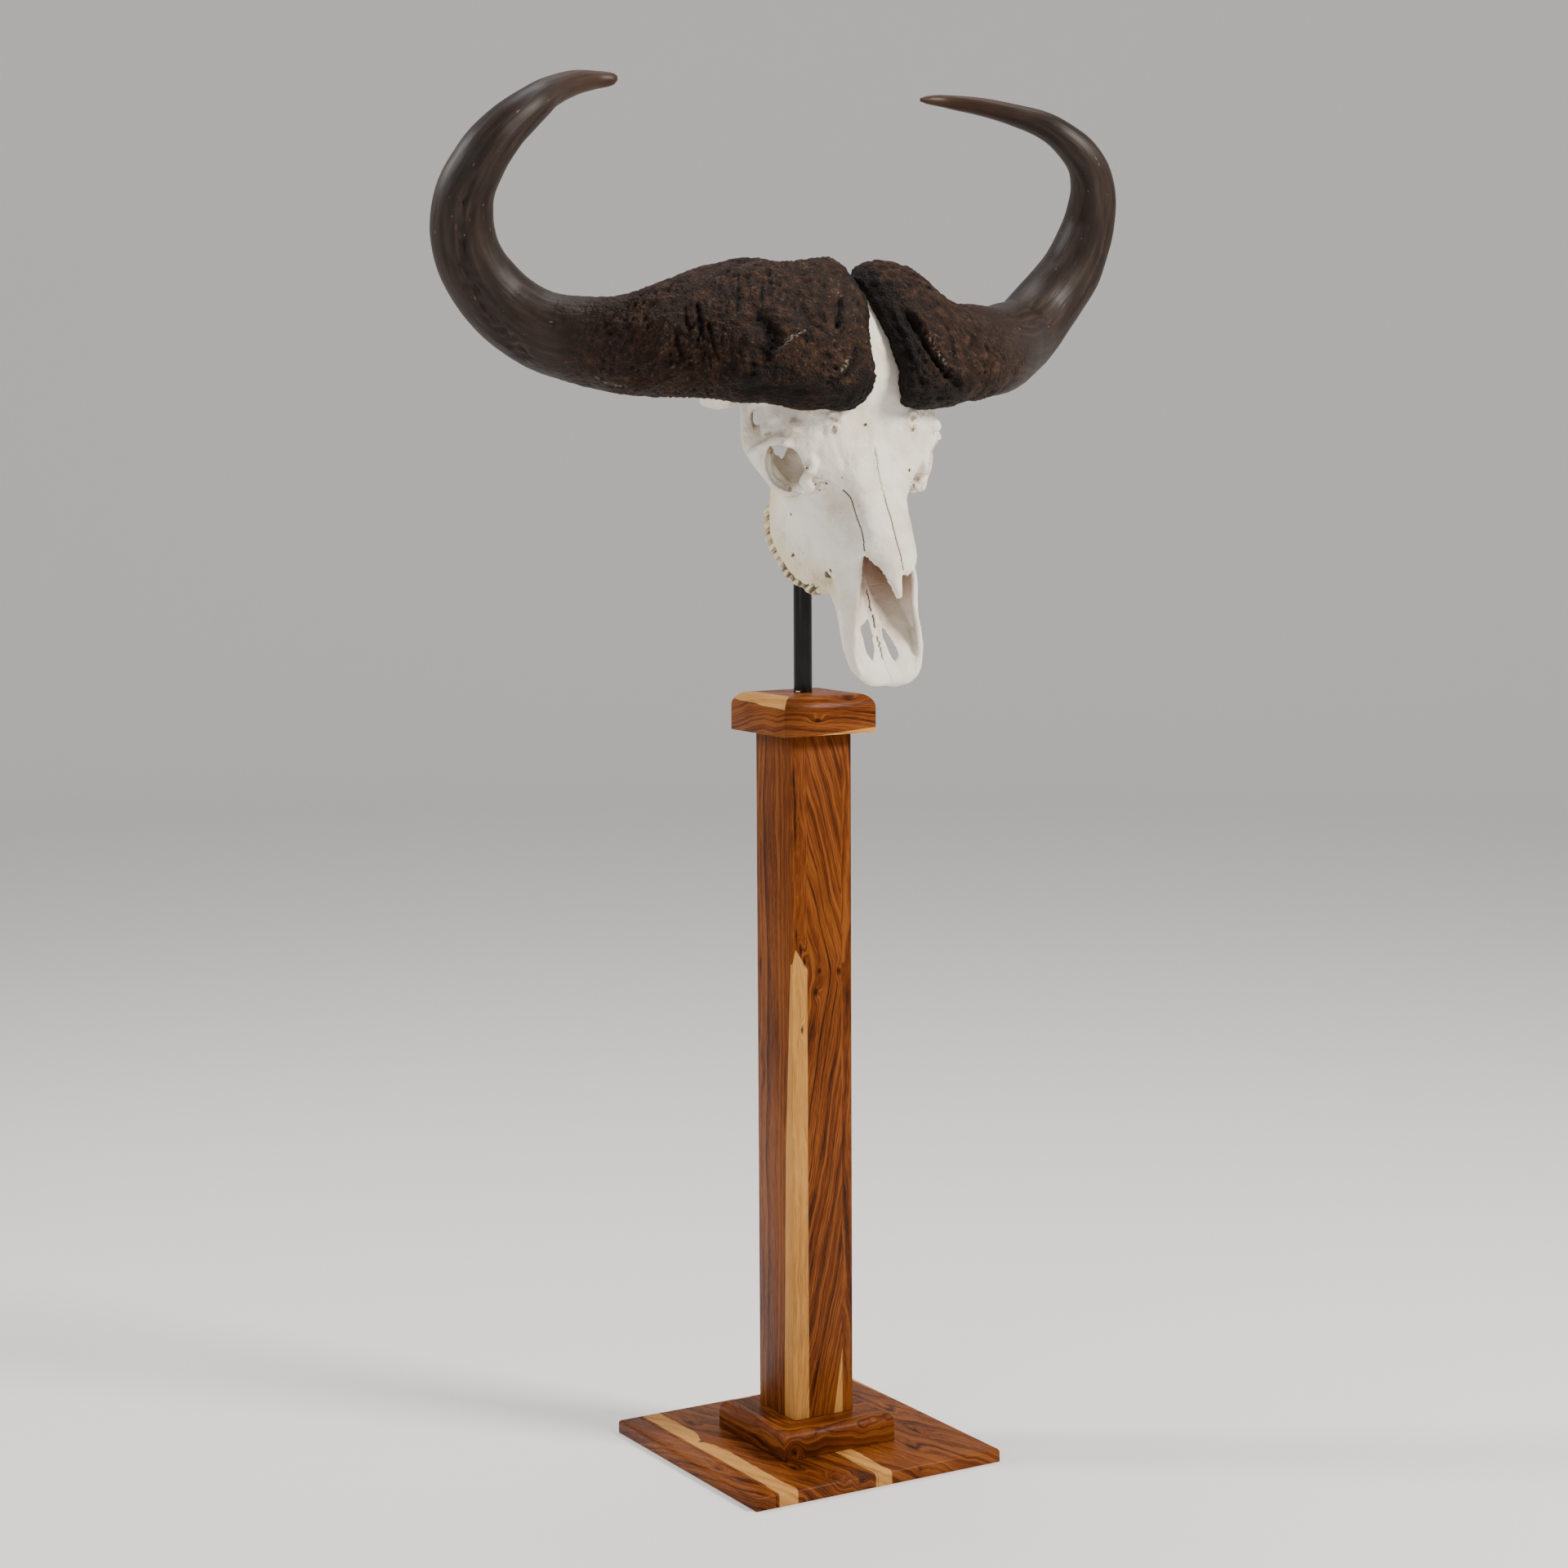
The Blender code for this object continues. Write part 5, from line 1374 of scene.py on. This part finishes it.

# Bleached bone: whitened with peroxide, dry and matt, warmer where fat and tannin stayed in the pores, tan
# stain with painted shade inside the hollows, turning to dark brown painted shade where they are most shut
# in, pinkish in the nose, and nearly black in the open seams.
bone, add, shader = new_finish("bleached bone")
place = add("TexCoord", out="Object")
shut, nose, rough, fat, seam = [
    add("Attribute", attribute_name=name, out="Fac") for name in ("inside", "nose", "rough", "fat", "seam")]
cloud = add("TexNoise", {"Vector": place, "Scale": 17.0, "Detail": 6.0, "Roughness": 0.66})
drift, specks, pitting, grit = [
    add("TexNoise", {"Vector": place, "Scale": scale, "Detail": detail})
    for scale, detail in ((22.0, 3.0), (420.0, 2.0), (190.0, 3.0), (900.0, 3.0))]
speck = add("MapRange", (specks, 0.70, 0.80, 0.0, 0.45))
# Tan stain with painted shade for the hollows, turned to dark brown painted shade where the bone is most shut
# in.
hollow_stain_and_shade = add("ValToRGB", (drift,), ((0.3, "#8f7a58"), (0.5, "#b8a488"), (0.7, "#d6c8b2")))
pink = add("ValToRGB", (drift,), ((0.3, "#a06f5c"), (0.5, "#c2947f"), (0.7, "#d9b8a8")))
deepest_painted_shade = add("MapRange", (shut, 0.70, 0.92, 0.0, 0.85))
hollow_stain_and_shade = add("Mix", {0: deepest_painted_shade, 6: hollow_stain_and_shade, 7: paint("#4a3521")}, data_type="RGBA", out=2)
fat_edge = add("Math", (cloud, 0.9, fat), operation="MULTIPLY_ADD")
pitted = add("MapRange", (pitting, 0.45, 0.62))
stain = add("Math", (pitted, rough), operation="MULTIPLY")
ivory = ((0.25, "#cdbfa6"), (0.42, "#dfd5c3"), (0.56, "#ebe4d8"), (0.75, "#f1ede5"))
colour = add("ValToRGB", (cloud,), ivory)
for share, coat in (
    (speck, paint("#a08a66")),
    (add("MapRange", (fat_edge, 0.55, 1.25, 0.0, 0.62)), paint("#cdb98a")),
    # painted shade with tan stain, laid on as far as the bone is shut in
    (add("MapRange", (shut, 0.21, 0.64, 0.0, 0.95)), hollow_stain_and_shade),
    (add("Math", (nose, 0.75), operation="MULTIPLY"), pink),
    (add("Math", (stain, 0.28), operation="MULTIPLY"), paint("#b39c74")),
    (add("MapRange", (seam, 0.25, 0.8, 0.0, 0.9)), paint("#3d3122")),
):
    colour = add("Mix", {0: share, 6: colour, 7: coat}, data_type="RGBA", out=2)
surface = {"Base Color": colour, "Roughness": 0.58}
lengthwise = add("Mapping", {
    "Vector": place, "Rotation": (-SKULL_TIP_UP, 0.0, 0.0), "Scale": (330.0, 55.0, 330.0)})
vessels = add("TexNoise", {"Vector": lengthwise, "Scale": 1.0, "Detail": 3.0})
crumbs = add("Math", (pitting, rough), operation="MULTIPLY")
relief = {}
for height, strength, distance, sunk in (
    (grit, 0.18, 0.0004, False), (vessels, 0.45, 0.0015, False), (crumbs, 1.0, 0.0035, False),
    (speck, 0.6, 0.0008, True),
):
    relief["Normal"] = add(
        "Bump", {**relief, "Height": height, "Strength": strength, "Distance": distance}, invert=sunk)
set_inputs(shader, {**surface, **relief})
stand_in(skull, "skull", bone)

# Cheek teeth: six in each row, three premolars with one lobe and three molars with two. The enamel is
# folded into upright ribs on the cheek side and rounded lobes on the tongue side, and worn at the edge
# into crescents. They are cream, with brown tartar in the folds, and stand loose in their sockets.
TOOTH_SPACE = 0.0008
TOOTH_SIDE_POINTS = 32
TOOTH_LEVELS = (
    (0.0, 0.72), (0.12, 0.82), (0.28, 0.90), (0.44, 0.95), (0.58, 0.99), (0.72, 1.0), (0.84, 0.99),
    (0.93, 0.96), (0.985, 0.91),
)
CHEWING_RINGS = (0.82, 0.70, 0.58, 0.46, 0.34, 0.20, 0.06)
CUSP_HEIGHT = 0.0032
CRESCENT_DEPTH = 0.0020
TOOTH_LEAN = 0.0016
TOOTH_SINK = 0.0022


def fold(share, middle, width):
    """A rounded rib across the side of a tooth."""
    return math.exp(-((share - middle) / width) ** 2)


def tooth_outline(lobes):
    """Plan of a tooth: share of its length, share of its half breadth, and how deep in a fold."""
    cusps = (0.5,) if lobes == 1 else (0.27, 0.75)
    ridges = (0.05, 0.95) if lobes == 1 else (0.05, 0.51, 0.95)
    outline = []
    for step in range(TOOTH_SIDE_POINTS):
        share = step / (TOOTH_SIDE_POINTS - 1)
        ribs = max(fold(share, ridge, 0.05) for ridge in ridges)
        rounds = max(fold(share, cusp, 0.16) for cusp in cusps)
        corner = min(1.0, share / 0.05, (1.0 - share) / 0.05)
        across = (0.74 + 0.08 * ribs + 0.28 * rounds) * (0.72 + 0.28 * corner)
        outline.append((share, across, 1.0 - max(ribs * 0.55, rounds)))
    for step in range(TOOTH_SIDE_POINTS):
        share = 1.0 - step / (TOOTH_SIDE_POINTS - 1)
        swell = abs(math.sin(math.pi * share * lobes)) ** 0.55
        outline.append((share, -(0.52 + 0.46 * swell), 1.0 - swell))
    return outline


def chewing_height(share, across, lobes):
    """Height of the worn face: two rows of cusps with a crescent pit behind each."""
    wave = abs(math.sin(math.pi * share * lobes))
    crest = max(fold(across, 0.66, 0.26), 0.75 * fold(across, -0.62, 0.26))
    height = crest * CUSP_HEIGHT * (0.25 + 0.75 * wave)
    crescent = 0.30 - 0.42 * wave
    pit = fold(across, crescent + 0.16, 0.09) * min(1.0, wave * 1.6)
    return height - pit * CRESCENT_DEPTH, pit


enamel, add, shader = new_finish("tooth enamel")
place = add("TexCoord", out="Object")
patch = add("TexNoise", {"Vector": place, "Scale": 120.0, "Detail": 4.0})
cream = add("ValToRGB", (patch,), ((0.3, "#a8905c"), (0.5, "#cbb98c"), (0.7, "#e2d6b6")))
folded = add("Attribute", attribute_name="tartar", out="Fac")
tartar = add("MapRange", (add("Math", (patch, 0.7, folded), operation="MULTIPLY_ADD"), 0.62, 0.98, 0.0, 0.95))
lines = add("TexNoise", {"Vector": place, "Scale": 700.0, "Detail": 2.0})
set_inputs(shader, {
    "Base Color": add("Mix", {0: tartar, 6: cream, 7: paint("#3c2a14")}, data_type="RGBA", out=2),
    "Roughness": add("MapRange", (tartar, 0.0, 1.0, 0.28, 0.62)),
    "Normal": add("Bump", {"Height": lines, "Strength": 0.2, "Distance": 0.0004}),
})

SIDES = ((-1.0, "right"), (1.0, "left"))
ends = [start for name, start, lobes in TEETH[1:]] + [TOOTH_ROW_END]
for side, side_name in SIDES:
    for (name, start, lobes), end in zip(TEETH, ends):
        outline = tooth_outline(lobes)
        first = start + TOOTH_SPACE / 2.0
        length = end - start - TOOTH_SPACE
        seed = start * 90.0 + side * 4.0
        lean = TOOTH_LEAN * noise.noise(Vector((seed, 0.3, 0.7))) * 2.0
        sunk = TOOTH_SINK * noise.noise(Vector((seed, 5.3, 2.7))) * 2.0
        rings = []
        folds = []
        for level, swell in TOOTH_LEVELS:
            ring = []
            for share, across, fold_depth in outline:
                row = row_point(first + length * share)
                lengthways = (share - 0.5) * length * (0.94 + 0.06 * swell) + first + length / 2.0
                height, pit = chewing_height(share, across, lobes)
                wobble = 1.0 + 0.16 * noise.noise(Vector((share * 5.0, across * 2.0, seed + level * 1.5)))
                breadth = TOOTH_HALF_BREADTH * across * swell * wobble + lean * level
                low = row.z + CUSP_HEIGHT - height + sunk
                z = row.z + TOOTH_HEIGHT + (low - row.z - TOOTH_HEIGHT) * level
                ring.append(Vector(((row.x + breadth) * side, lengthways, z)))
                folds.append(min(1.0, fold_depth * (1.15 - level * 0.6)))
            rings.append(ring)
        for inset in CHEWING_RINGS:
            ring = []
            for share, across, fold_depth in outline:
                nearer = 0.5 + (share - 0.5) * inset
                row = row_point(first + length * nearer)
                height, pit = chewing_height(nearer, across * inset, lobes)
                ring.append(Vector((
                    (row.x + TOOTH_HALF_BREADTH * across * inset + lean) * side, first + length * nearer,
                    row.z + CUSP_HEIGHT - height + sunk)))
                folds.append(min(1.0, 0.25 + pit))
            rings.append(ring)
        tooth = skin("cheek_tooth_{}_{}".format(side_name, name), rings)
        tartar_share = tooth.data.attributes.new("tartar", "FLOAT", "POINT")
        for index, value in enumerate(folds):
            tartar_share.data[index].value = value
        tooth.data.transform(holder)
        tooth.data.update()
        stand_in(tooth, "tooth_{}_{}".format(side_name, name), enamel)

# Horns: two keratin sheaths over bony cores, the animal's right one thicker at its tip. At the root
# each swells into a boss, rough as bark: crusted, pitted and split, black where it meets the bone. Past
# the bend the horn is worn smooth and has a half gloss, with fine lines that run along it.

# A station is a place, the half breadth, the half thickness, the tip of the back edge, the squareness
# of the section and the share of BOSS_FULLNESS that it takes.
HORN_LINE = (
    ((0.0215, 0.413, 0.139), 0.076, 0.023, 0.15, 2.6, 0.0),
    ((0.026, 0.413, 0.140), 0.095, 0.034, 0.18, 2.8, 0.3),
    ((0.040, 0.412, 0.141), 0.108, 0.043, 0.22, 2.9, 0.15),
    ((0.066, 0.411, 0.140), 0.106, 0.048, 0.19, 2.8, 0.0),
    ((0.100, 0.411, 0.134), 0.099, 0.053, 0.25, 2.7, 0.15),
    ((0.138, 0.417, 0.123), 0.093, 0.054, 0.30, 2.5, 0.75),
    ((0.178, 0.427, 0.099), 0.085, 0.054, 0.33, 2.4, 0.9),
    ((0.220, 0.4345, 0.076), 0.0720, 0.056, 0.24, 2.2, 0.65),
    ((0.263, 0.4460, 0.045), 0.0612, 0.058, 0.08, 2.0, 0.35),
    ((0.307, 0.4705, 0.012), 0.055, 0.054, 0.0, 2.0, 0.0),
    ((0.354, 0.4985, -0.010), 0.049, 0.0485, 0.0, 2.0, 0.0),
    ((0.401, 0.5385, -0.010), 0.0457, 0.0445, 0.0, 2.0, 0.0),
    ((0.4435, 0.584, 0.020), 0.041, 0.041, 0.0, 2.0, 0.0),
    ((0.4575, 0.628, 0.065), 0.0357, 0.0357, 0.0, 2.0, 0.0),
    ((0.446, 0.659, 0.1095), 0.0306, 0.0306, 0.0, 2.0, 0.0),
    ((0.421, 0.685, 0.137), 0.0262, 0.0262, 0.0, 2.0, 0.0),
    ((0.3785, 0.716, 0.149), 0.0206, 0.0206, 0.0, 2.0, 0.0),
    ((0.337, 0.748, 0.132), 0.0160, 0.0160, 0.0, 2.0, 0.0),
    ((0.294, 0.772, 0.1135), 0.0130, 0.0130, 0.0, 2.0, 0.0),
    ((0.2605, 0.783, 0.1035), 0.0100, 0.0100, 0.0, 2.0, 0.0),
    ((0.236, 0.784, 0.1035), 0.0068, 0.0068, 0.0, 2.0, 0.0),
    ((0.2275, 0.784, 0.1035), 0.0030, 0.0030, 0.0, 2.0, 0.0),
)
HORN_SIDES = 132
HORN_STEPS = 24
BOSS_STEP = 0.0033
HORN_STEP = 0.0050
INNER_EDGE_LEAN = {"back": 0.085, "front": 0.045}
BACK_CLOSE = 5.0
BACK_CLOSE_START = 0.035
PARTING_SWING = {"right": (-0.031, 0.032, 0.058), "left": (0.016, -0.042, 0.072)}
LEAN_ENDS = 0.110
TIP_SWELL = {"right": 0.25, "left": -0.20}
TIP_SHIFT = {"right": (0.0, 0.009, 0.0), "left": (-0.012, 0.0, 0.0)}
TIP_STARTS = 0.55
BOSS_FULLNESS = {"right": 0.12, "left": -0.21}
BOSS_ENDS = {"right": 0.430, "left": 0.320}
BOSS_FADE = 0.180
LUMP_SIZE = 0.030
LUMP_HEIGHT = 0.0028
CRUST_SIZE = 0.011
CRUST_HEIGHT = 0.0019
GRANULE_SIZE = 0.0052
GRANULE_HEIGHT = 0.0009
PIT_SIZE = 0.0085
PIT_DEPTH = 0.0036
LADDER_STEP = 0.0050
LADDER_DEPTH = 0.0026
RING_STEP = 0.008
RING_HEIGHT = 0.00045
FRONT_RIM = -0.087
PARTING_RIM = {"right": 0.014, "left": 0.026}
RIM_FADE = 0.016
STREAK_SIZE = 0.0035
STREAK_HEIGHT = 0.00018
UNEVEN_SCALE = 140.0
UNEVEN_SHARE = 0.9
WANDER_SCALE = 90.0
WANDER_SHARE = 0.5
GROOVE_ENDS = 2.5
SCRAPE_SHARE = 1.3
RAGGED_SCALE = 60.0
RAGGED_REACH = 0.014

# A groove is spots in the picture, its half width, its depth and the share of painted shade in it. A scrape
# is spots and its half width.
GROOVES = {
    "right": (
        ((634, 430), (610, 404), (592, 376), (574, 338), (566, 300), (566, 262), (575, 225),
         0.011, 0.0060, 0.0),
        ((1030, 368), (1029, 382), (1026, 400), 0.0030, 0.0060, 1.0),
        ((1014, 470), (1030, 462), (1042, 446), (1048, 425), 0.0035, 0.0030, 0.7),
        ((932, 388), (942, 402), (948, 416), (938, 430), 0.0120, 0.0085, 0.8),
        ((853, 372), (856, 390), (858, 410), 0.0028, 0.0050, 1.0),
        ((838, 376), (840, 392), (843, 404), 0.0022, 0.0032, 0.9),
        ((868, 398), (872, 418), (880, 440), 0.0026, 0.0030, 0.7),
        ((826, 405), (830, 425), (836, 440), 0.0030, 0.0030, 0.7),
        ((983, 372), (990, 388), (1000, 398), 0.0045, 0.0032, 0.7),
        ((946, 437), (960, 427), (973, 416), (984, 407), 0.0040, -0.0062, 0.0),
        ((890, 470), (905, 455), (915, 435), (918, 412), 0.0100, -0.0035, 0.0),
        ((912, 478), (935, 476), (960, 478), (990, 482), 0.0070, 0.0035, 0.5),
        ((770, 400), (800, 396), (822, 392), 0.0080, -0.0030, 0.0),
    ),
    "left": (
        ((1112, 384), (1122, 400), (1133, 418), (1144, 436), (1160, 458), (1176, 474), 0.0045, 0.0095, 1.0),
        ((1122, 384), (1134, 402), (1146, 422), (1157, 440), (1170, 456), 0.0040, -0.0034, 0.0),
        ((1092, 385), (1102, 412), (1114, 440), (1130, 470), 0.0040, 0.0034, 0.8),
        ((1104, 380), (1115, 408), (1128, 435), (1145, 462), 0.0028, 0.0026, 0.7),
        ((1160, 400), (1166, 420), (1168, 436), 0.0024, 0.0036, 0.9),
        ((1168, 395), (1190, 410), (1205, 432), (1210, 455), 0.0060, -0.0026, 0.0),
        ((1115, 482), (1140, 490), (1165, 488), 0.0040, 0.0034, 0.7),
        ((1340, 340), (1352, 310), (1356, 270), (1350, 235), 0.010, 0.0024, 0.0),
    ),
}
SCRAPES = {
    "right": (
        ((1031, 453), (1037, 447), (1042, 442), 0.0018),
        ((1034, 446), (1040, 439), (1046, 436), 0.0016),
        ((949, 430), (960, 422), (972, 414), (983, 407), 0.0017),
        ((958, 420), (966, 414), (976, 409), 0.0014),
        ((1022, 356), (1026, 359), (1029, 362), 0.0016),
        ((730, 462), (745, 470), (765, 474), 0.0020),
    ),
    "left": (
        ((1137, 411), (1143, 423), (1150, 435), (1158, 447), 0.0014),
        ((1124, 488), (1138, 491), (1146, 494), 0.0020),
    ),
}


def horn_rings(side, side_name):
    """Rings round one horn from the parting to its tip, with each point's place in the straightened
    horn: along the breadth, through the thickness, and the way from the root."""
    centres = smooth_row([row[0] for row in HORN_LINE], HORN_STEPS)
    sizes = smooth_row([row[1:4] for row in HORN_LINE], HORN_STEPS)
    forms = smooth_row([(*row[4:6], 0.0) for row in HORN_LINE], HORN_STEPS)
    breadth = Vector((0.0, 1.0, 0.0))
    swing, swing_middle, swing_width = PARTING_SWING[side_name]
    rings = []
    grains = []
    way = 0.0
    last_way = -1.0
    final = len(centres) - 1
    for index, centre in enumerate(centres):
        before = centres[max(index - 1, 0)]
        after = centres[min(index + 1, final)]
        ahead = (after - before).normalized()
        breadth = (breadth - ahead * breadth.dot(ahead)).normalized()
        if index:
            way += (centre - before).length
        if way - last_way < (BOSS_STEP if way < BOSS_ENDS[side_name] else HORN_STEP) and index < final:
            continue
        last_way = way
        tipped = Matrix.Rotation(-sizes[index].z, 3, ahead) @ breadth
        upward = ahead.cross(tipped)
        share = max(0.0, (index / final - TIP_STARTS) / (1.0 - TIP_STARTS))
        full = BOSS_FULLNESS[side_name] * forms[index].y
        scale = (1.0 + TIP_SWELL[side_name] * share) * (1.0 + full)
        middle = centre + Vector((0.0, sizes[index].x * full, 0.0))
        middle += Vector(TIP_SHIFT[side_name]) * share ** 2
        near_parting = max(0.0, 1.0 - centre.x / LEAN_ENDS)
        power = 2.0 / forms[index].x
        ring = []
        for step in range(HORN_SIDES):
            angle = 2.0 * math.pi * step / HORN_SIDES
            along, over = [
                math.copysign(abs(part) ** power, part) * half * scale
                for part, half in ((math.cos(angle), sizes[index].x), (math.sin(angle), sizes[index].y))]
            offset = tipped * along + upward * over
            point = middle + offset
            lean = INNER_EDGE_LEAN["back" if offset.y > 0.0 else "front"] * near_parting
            closed = BACK_CLOSE * max(0.0, offset.y - BACK_CLOSE_START) ** 2
            swung = swing * math.exp(-((offset.y - swing_middle) / swing_width) ** 2)
            x = point.x - lean * offset.y + (swung - closed) * near_parting
            ring.append((x * side, point.y, point.z))
            grains.append((along, over, way))
        rings.append(ring)
    return rings, grains


def fade_out(value, end, width):
    """1 before the fade, 0 after the end."""
    share = min(1.0, max(0.0, (end - value) / width))
    return share * share * (3.0 - 2.0 * share)


def horn_relief(grain, seed, boss_ends):
    """Height of the surface, how deep it lies in a pit, the share of boss, and how far it stands out."""
    shift = Vector((seed, 0.0, 0.0))
    edge = noise.noise(grain / 0.035 + shift) * 0.040
    boss = fade_out(grain.z + edge, boss_ends - 0.020, BOSS_FADE)
    worn = 1.0 - boss
    height = noise.noise(grain / LUMP_SIZE + shift) * LUMP_HEIGHT * (0.25 + 0.75 * boss)
    rings = noise.noise(Vector((grain.z / RING_STEP, seed, grain.x * 6.0)))
    height += rings * RING_HEIGHT * (0.3 + 0.7 * fade_out(grain.z, 0.55, 0.25))
    streak = noise.noise(Vector((grain.x / STREAK_SIZE, grain.y / STREAK_SIZE, grain.z * 14.0)))
    height += streak * STREAK_HEIGHT * worn
    pit = 0.0
    top = 0.0
    if boss > 0.0:
        crust = noise.ridged_multi_fractal(grain / CRUST_SIZE + shift, 0.9, 2.2, 4.0, 1.0, 2.0) - 1.1
        height += crust * CRUST_HEIGHT * boss
        granule = 0.5 - noise.voronoi(grain / GRANULE_SIZE + shift)[0][0]
        height += granule * GRANULE_HEIGHT * boss
        spread = Vector((grain.x / PIT_SIZE * 0.7, grain.y / PIT_SIZE, grain.z / PIT_SIZE * 1.35))
        cells = noise.voronoi(spread + shift)[0]
        crowd = noise.noise(grain / 0.042 + shift * 2.0)
        pit = max(0.0, 0.45 - cells[0]) / 0.45 * min(1.0, max(0.0, crowd * 3.0 + 0.65))
        rows = noise.noise(Vector((grain.z / LADDER_STEP, seed * 3.0, grain.x / 0.030)))
        ladder_crowd = noise.noise(grain / 0.050 + shift * 5.0)
        ladder = max(0.0, rows - 0.08) * 2.4 * min(1.0, max(0.0, ladder_crowd * 3.0))
        height -= (pit * PIT_DEPTH + ladder * LADDER_DEPTH) * boss
        pit = min(1.0, pit + ladder * 0.8 - crust * 0.30) * boss
        top = max(0.0, crust - 0.25) * boss
    return height, pit, boss, top


for side, side_name in SIDES:
    rings, grains = horn_rings(side, side_name)
    horn = skin("horn_sheath_" + side_name, rings)
    shape = bmesh.new()
    shape.from_mesh(horn.data)
    straight = shape.verts.layers.float_vector.new("straightened")
    for vertex, grain in zip(shape.verts, grains):
        vertex[straight] = Vector(grain)
    boss_edges = []
    for edge in shape.edges:
        if max(vertex[straight].z for vertex in edge.verts) < BOSS_ENDS[side_name]:
            boss_edges.append(edge)
    bmesh.ops.subdivide_edges(shape, edges=boss_edges, cuts=1, use_grid_fill=True)
    bmesh.ops.triangulate(shape, faces=[face for face in shape.faces if len(face.verts) > 4])
    shape.normal_update()
    finder = BVHTree.FromBMesh(shape)
    grooves = []
    for *spots, width, depth, groove_shade in GROOVES[side_name]:
        grooves.append((laid_line(smooth_row(seen_row(spots, finder), 16)), width, depth, groove_shade))
    scrapes = []
    for *spots, width in SCRAPES[side_name]:
        scrapes.append((laid_line(smooth_row(seen_row(spots, finder), 16)), width))
    sunk, crusted, edged, rubbed_tops = [
        shape.verts.layers.float.new(name) for name in ("pit", "crust", "rim", "rubbed")]
    moves = []
    for vertex in shape.verts:
        grain = vertex[straight]
        height, pit, boss, top = horn_relief(grain, 11.0 + side * 3.0, BOSS_ENDS[side_name])
        uneven = 1.0 + UNEVEN_SHARE * noise.noise(vertex.co * UNEVEN_SCALE)
        for line, width, depth, groove_shade in grooves:
            far = line.find(vertex.co)[2] * (1.0 + WANDER_SHARE * noise.noise(vertex.co * WANDER_SCALE))
            if far < width * GROOVE_ENDS:
                cut = math.exp(-(far / width) ** 2)
                height -= cut * depth * uneven
                # the groove adds its share of painted shade to the pit mark
                pit = max(pit, cut * groove_shade)
        for line, width in scrapes:
            far = line.find(vertex.co)[2]
            top = max(top, SCRAPE_SHARE * math.exp(-(far / width) ** 2))
        ragged = noise.noise(vertex.co * RAGGED_SCALE) * RAGGED_REACH
        front_rim = fade_out(grain.x + ragged, FRONT_RIM, RIM_FADE)
        vertex[sunk] = pit
        vertex[crusted] = boss
        vertex[rubbed_tops] = top
        vertex[edged] = max(front_rim, fade_out(grain.z + ragged, PARTING_RIM[side_name], RIM_FADE)) * boss
        moves.append((vertex, vertex.normal * height))
    for vertex, move in moves:
        vertex.co += move
    shape.to_mesh(horn.data)
    shape.free()
    horn.data.transform(holder)
    horn.data.update()

    # Keratin: brown crust that turns grey where it is rubbed, with near-black painted shade in its pits,
    # cracks and grooves, then smooth dark horn, and warm brown with small pale flecks at the tips.
    keratin, add, shader = new_finish("keratin horn " + side_name)
    place = add("TexCoord", out="Object")
    grain_place = add("Attribute", attribute_name="straightened", out="Vector")
    pit, crust, rim, rubbed = [
        add("Attribute", attribute_name=name, out="Fac") for name in ("pit", "crust", "rim", "rubbed")]
    mottle, chalk, bark = [
        add("TexNoise", {"Vector": place, "Scale": scale, "Detail": detail})
        for scale, detail in ((75.0, 6.0), (260.0, 3.0), (300.0, 5.0))]
    drawn, fine_drawn = [
        add("Mapping", {"Vector": grain_place, "Scale": scales})
        for scales in ((160.0, 160.0, 7.0), (260.0, 260.0, 90.0))]
    patches, lines, flecks = [
        add("TexNoise", {"Vector": vector, "Scale": scale, "Detail": detail})
        for vector, scale, detail in ((grain_place, 24.0, 3.0), (drawn, 1.0, 4.0), (fine_drawn, 1.0, 1.0))]
    way = add("SeparateXYZ", (grain_place,), out="Z")
    chalky = add("MapRange", (chalk, 0.46, 0.62, 0.0, 0.9))
    smooth = add("ValToRGB", (lines,), ((0.30, "#160e0a"), (0.50, "#231812"), (0.72, "#35271f")))
    crusts = ((0.26, "#120b08"), (0.42, "#22150e"), (0.58, "#2f1d13"), (0.76, "#453124"))
    brown = add("ValToRGB", (mottle,), crusts)
    coats = (
        (smooth, (
            (add("MapRange", (way, 0.74, 1.20, 0.0, 0.80)), "#573519"),
            (add("MapRange", (flecks, 0.75, 0.80, 0.0, 0.4)), "#a8927a"),
        )),
        (brown, (
            (add("MapRange", (patches, 0.54, 0.70, 0.0, 0.45)), "#231c19"),
            (add("Math", (chalky, rubbed), operation="MULTIPLY", use_clamp=True), "#84786b"),
            # painted shade: near black as deep as the pits, cracks and grooves lie
            (add("MapRange", (pit, 0.05, 0.75)), "#0e0908"),
            (add("Math", (rim, 0.8), operation="MULTIPLY"), "#13100f"),
        )),
    )
    shades = []
    for colour, layers in coats:
        for share, code in layers:
            colour = add("Mix", {0: share, 6: colour, 7: paint(code)}, data_type="RGBA", out=2)
        shades.append(colour)
    gloss = add("MapRange", (crust, 0.0, 1.0, 0.47, 0.60))
    uneven = add("Math", (lines, 0.16, gloss), operation="MULTIPLY_ADD")
    cells = add("TexVoronoi", {"Vector": place, "Scale": 330.0}, out="Distance")
    grains_up = add("Math", (cells, -0.6, bark), operation="MULTIPLY_ADD")
    coarse = add("Math", (grains_up, crust), operation="MULTIPLY")
    rough_bump = add("Bump", {"Height": coarse, "Strength": 1.0, "Distance": 0.0026})
    set_inputs(shader, {
        "Base Color": add("Mix", {0: crust, 6: shades[0], 7: shades[1]}, data_type="RGBA", out=2),
        "Roughness": add("Math", (uneven, 0.07), operation="SUBTRACT"),
        "Specular IOR Level": add("MapRange", (crust, 0.0, 1.0, 0.25, 0.11)),
        "Normal": add("Bump", {"Height": lines, "Strength": 0.8, "Distance": 0.0012, "Normal": rough_bump}),
    })
    stand_in(horn, "horn_" + side_name, keratin)

low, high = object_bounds()
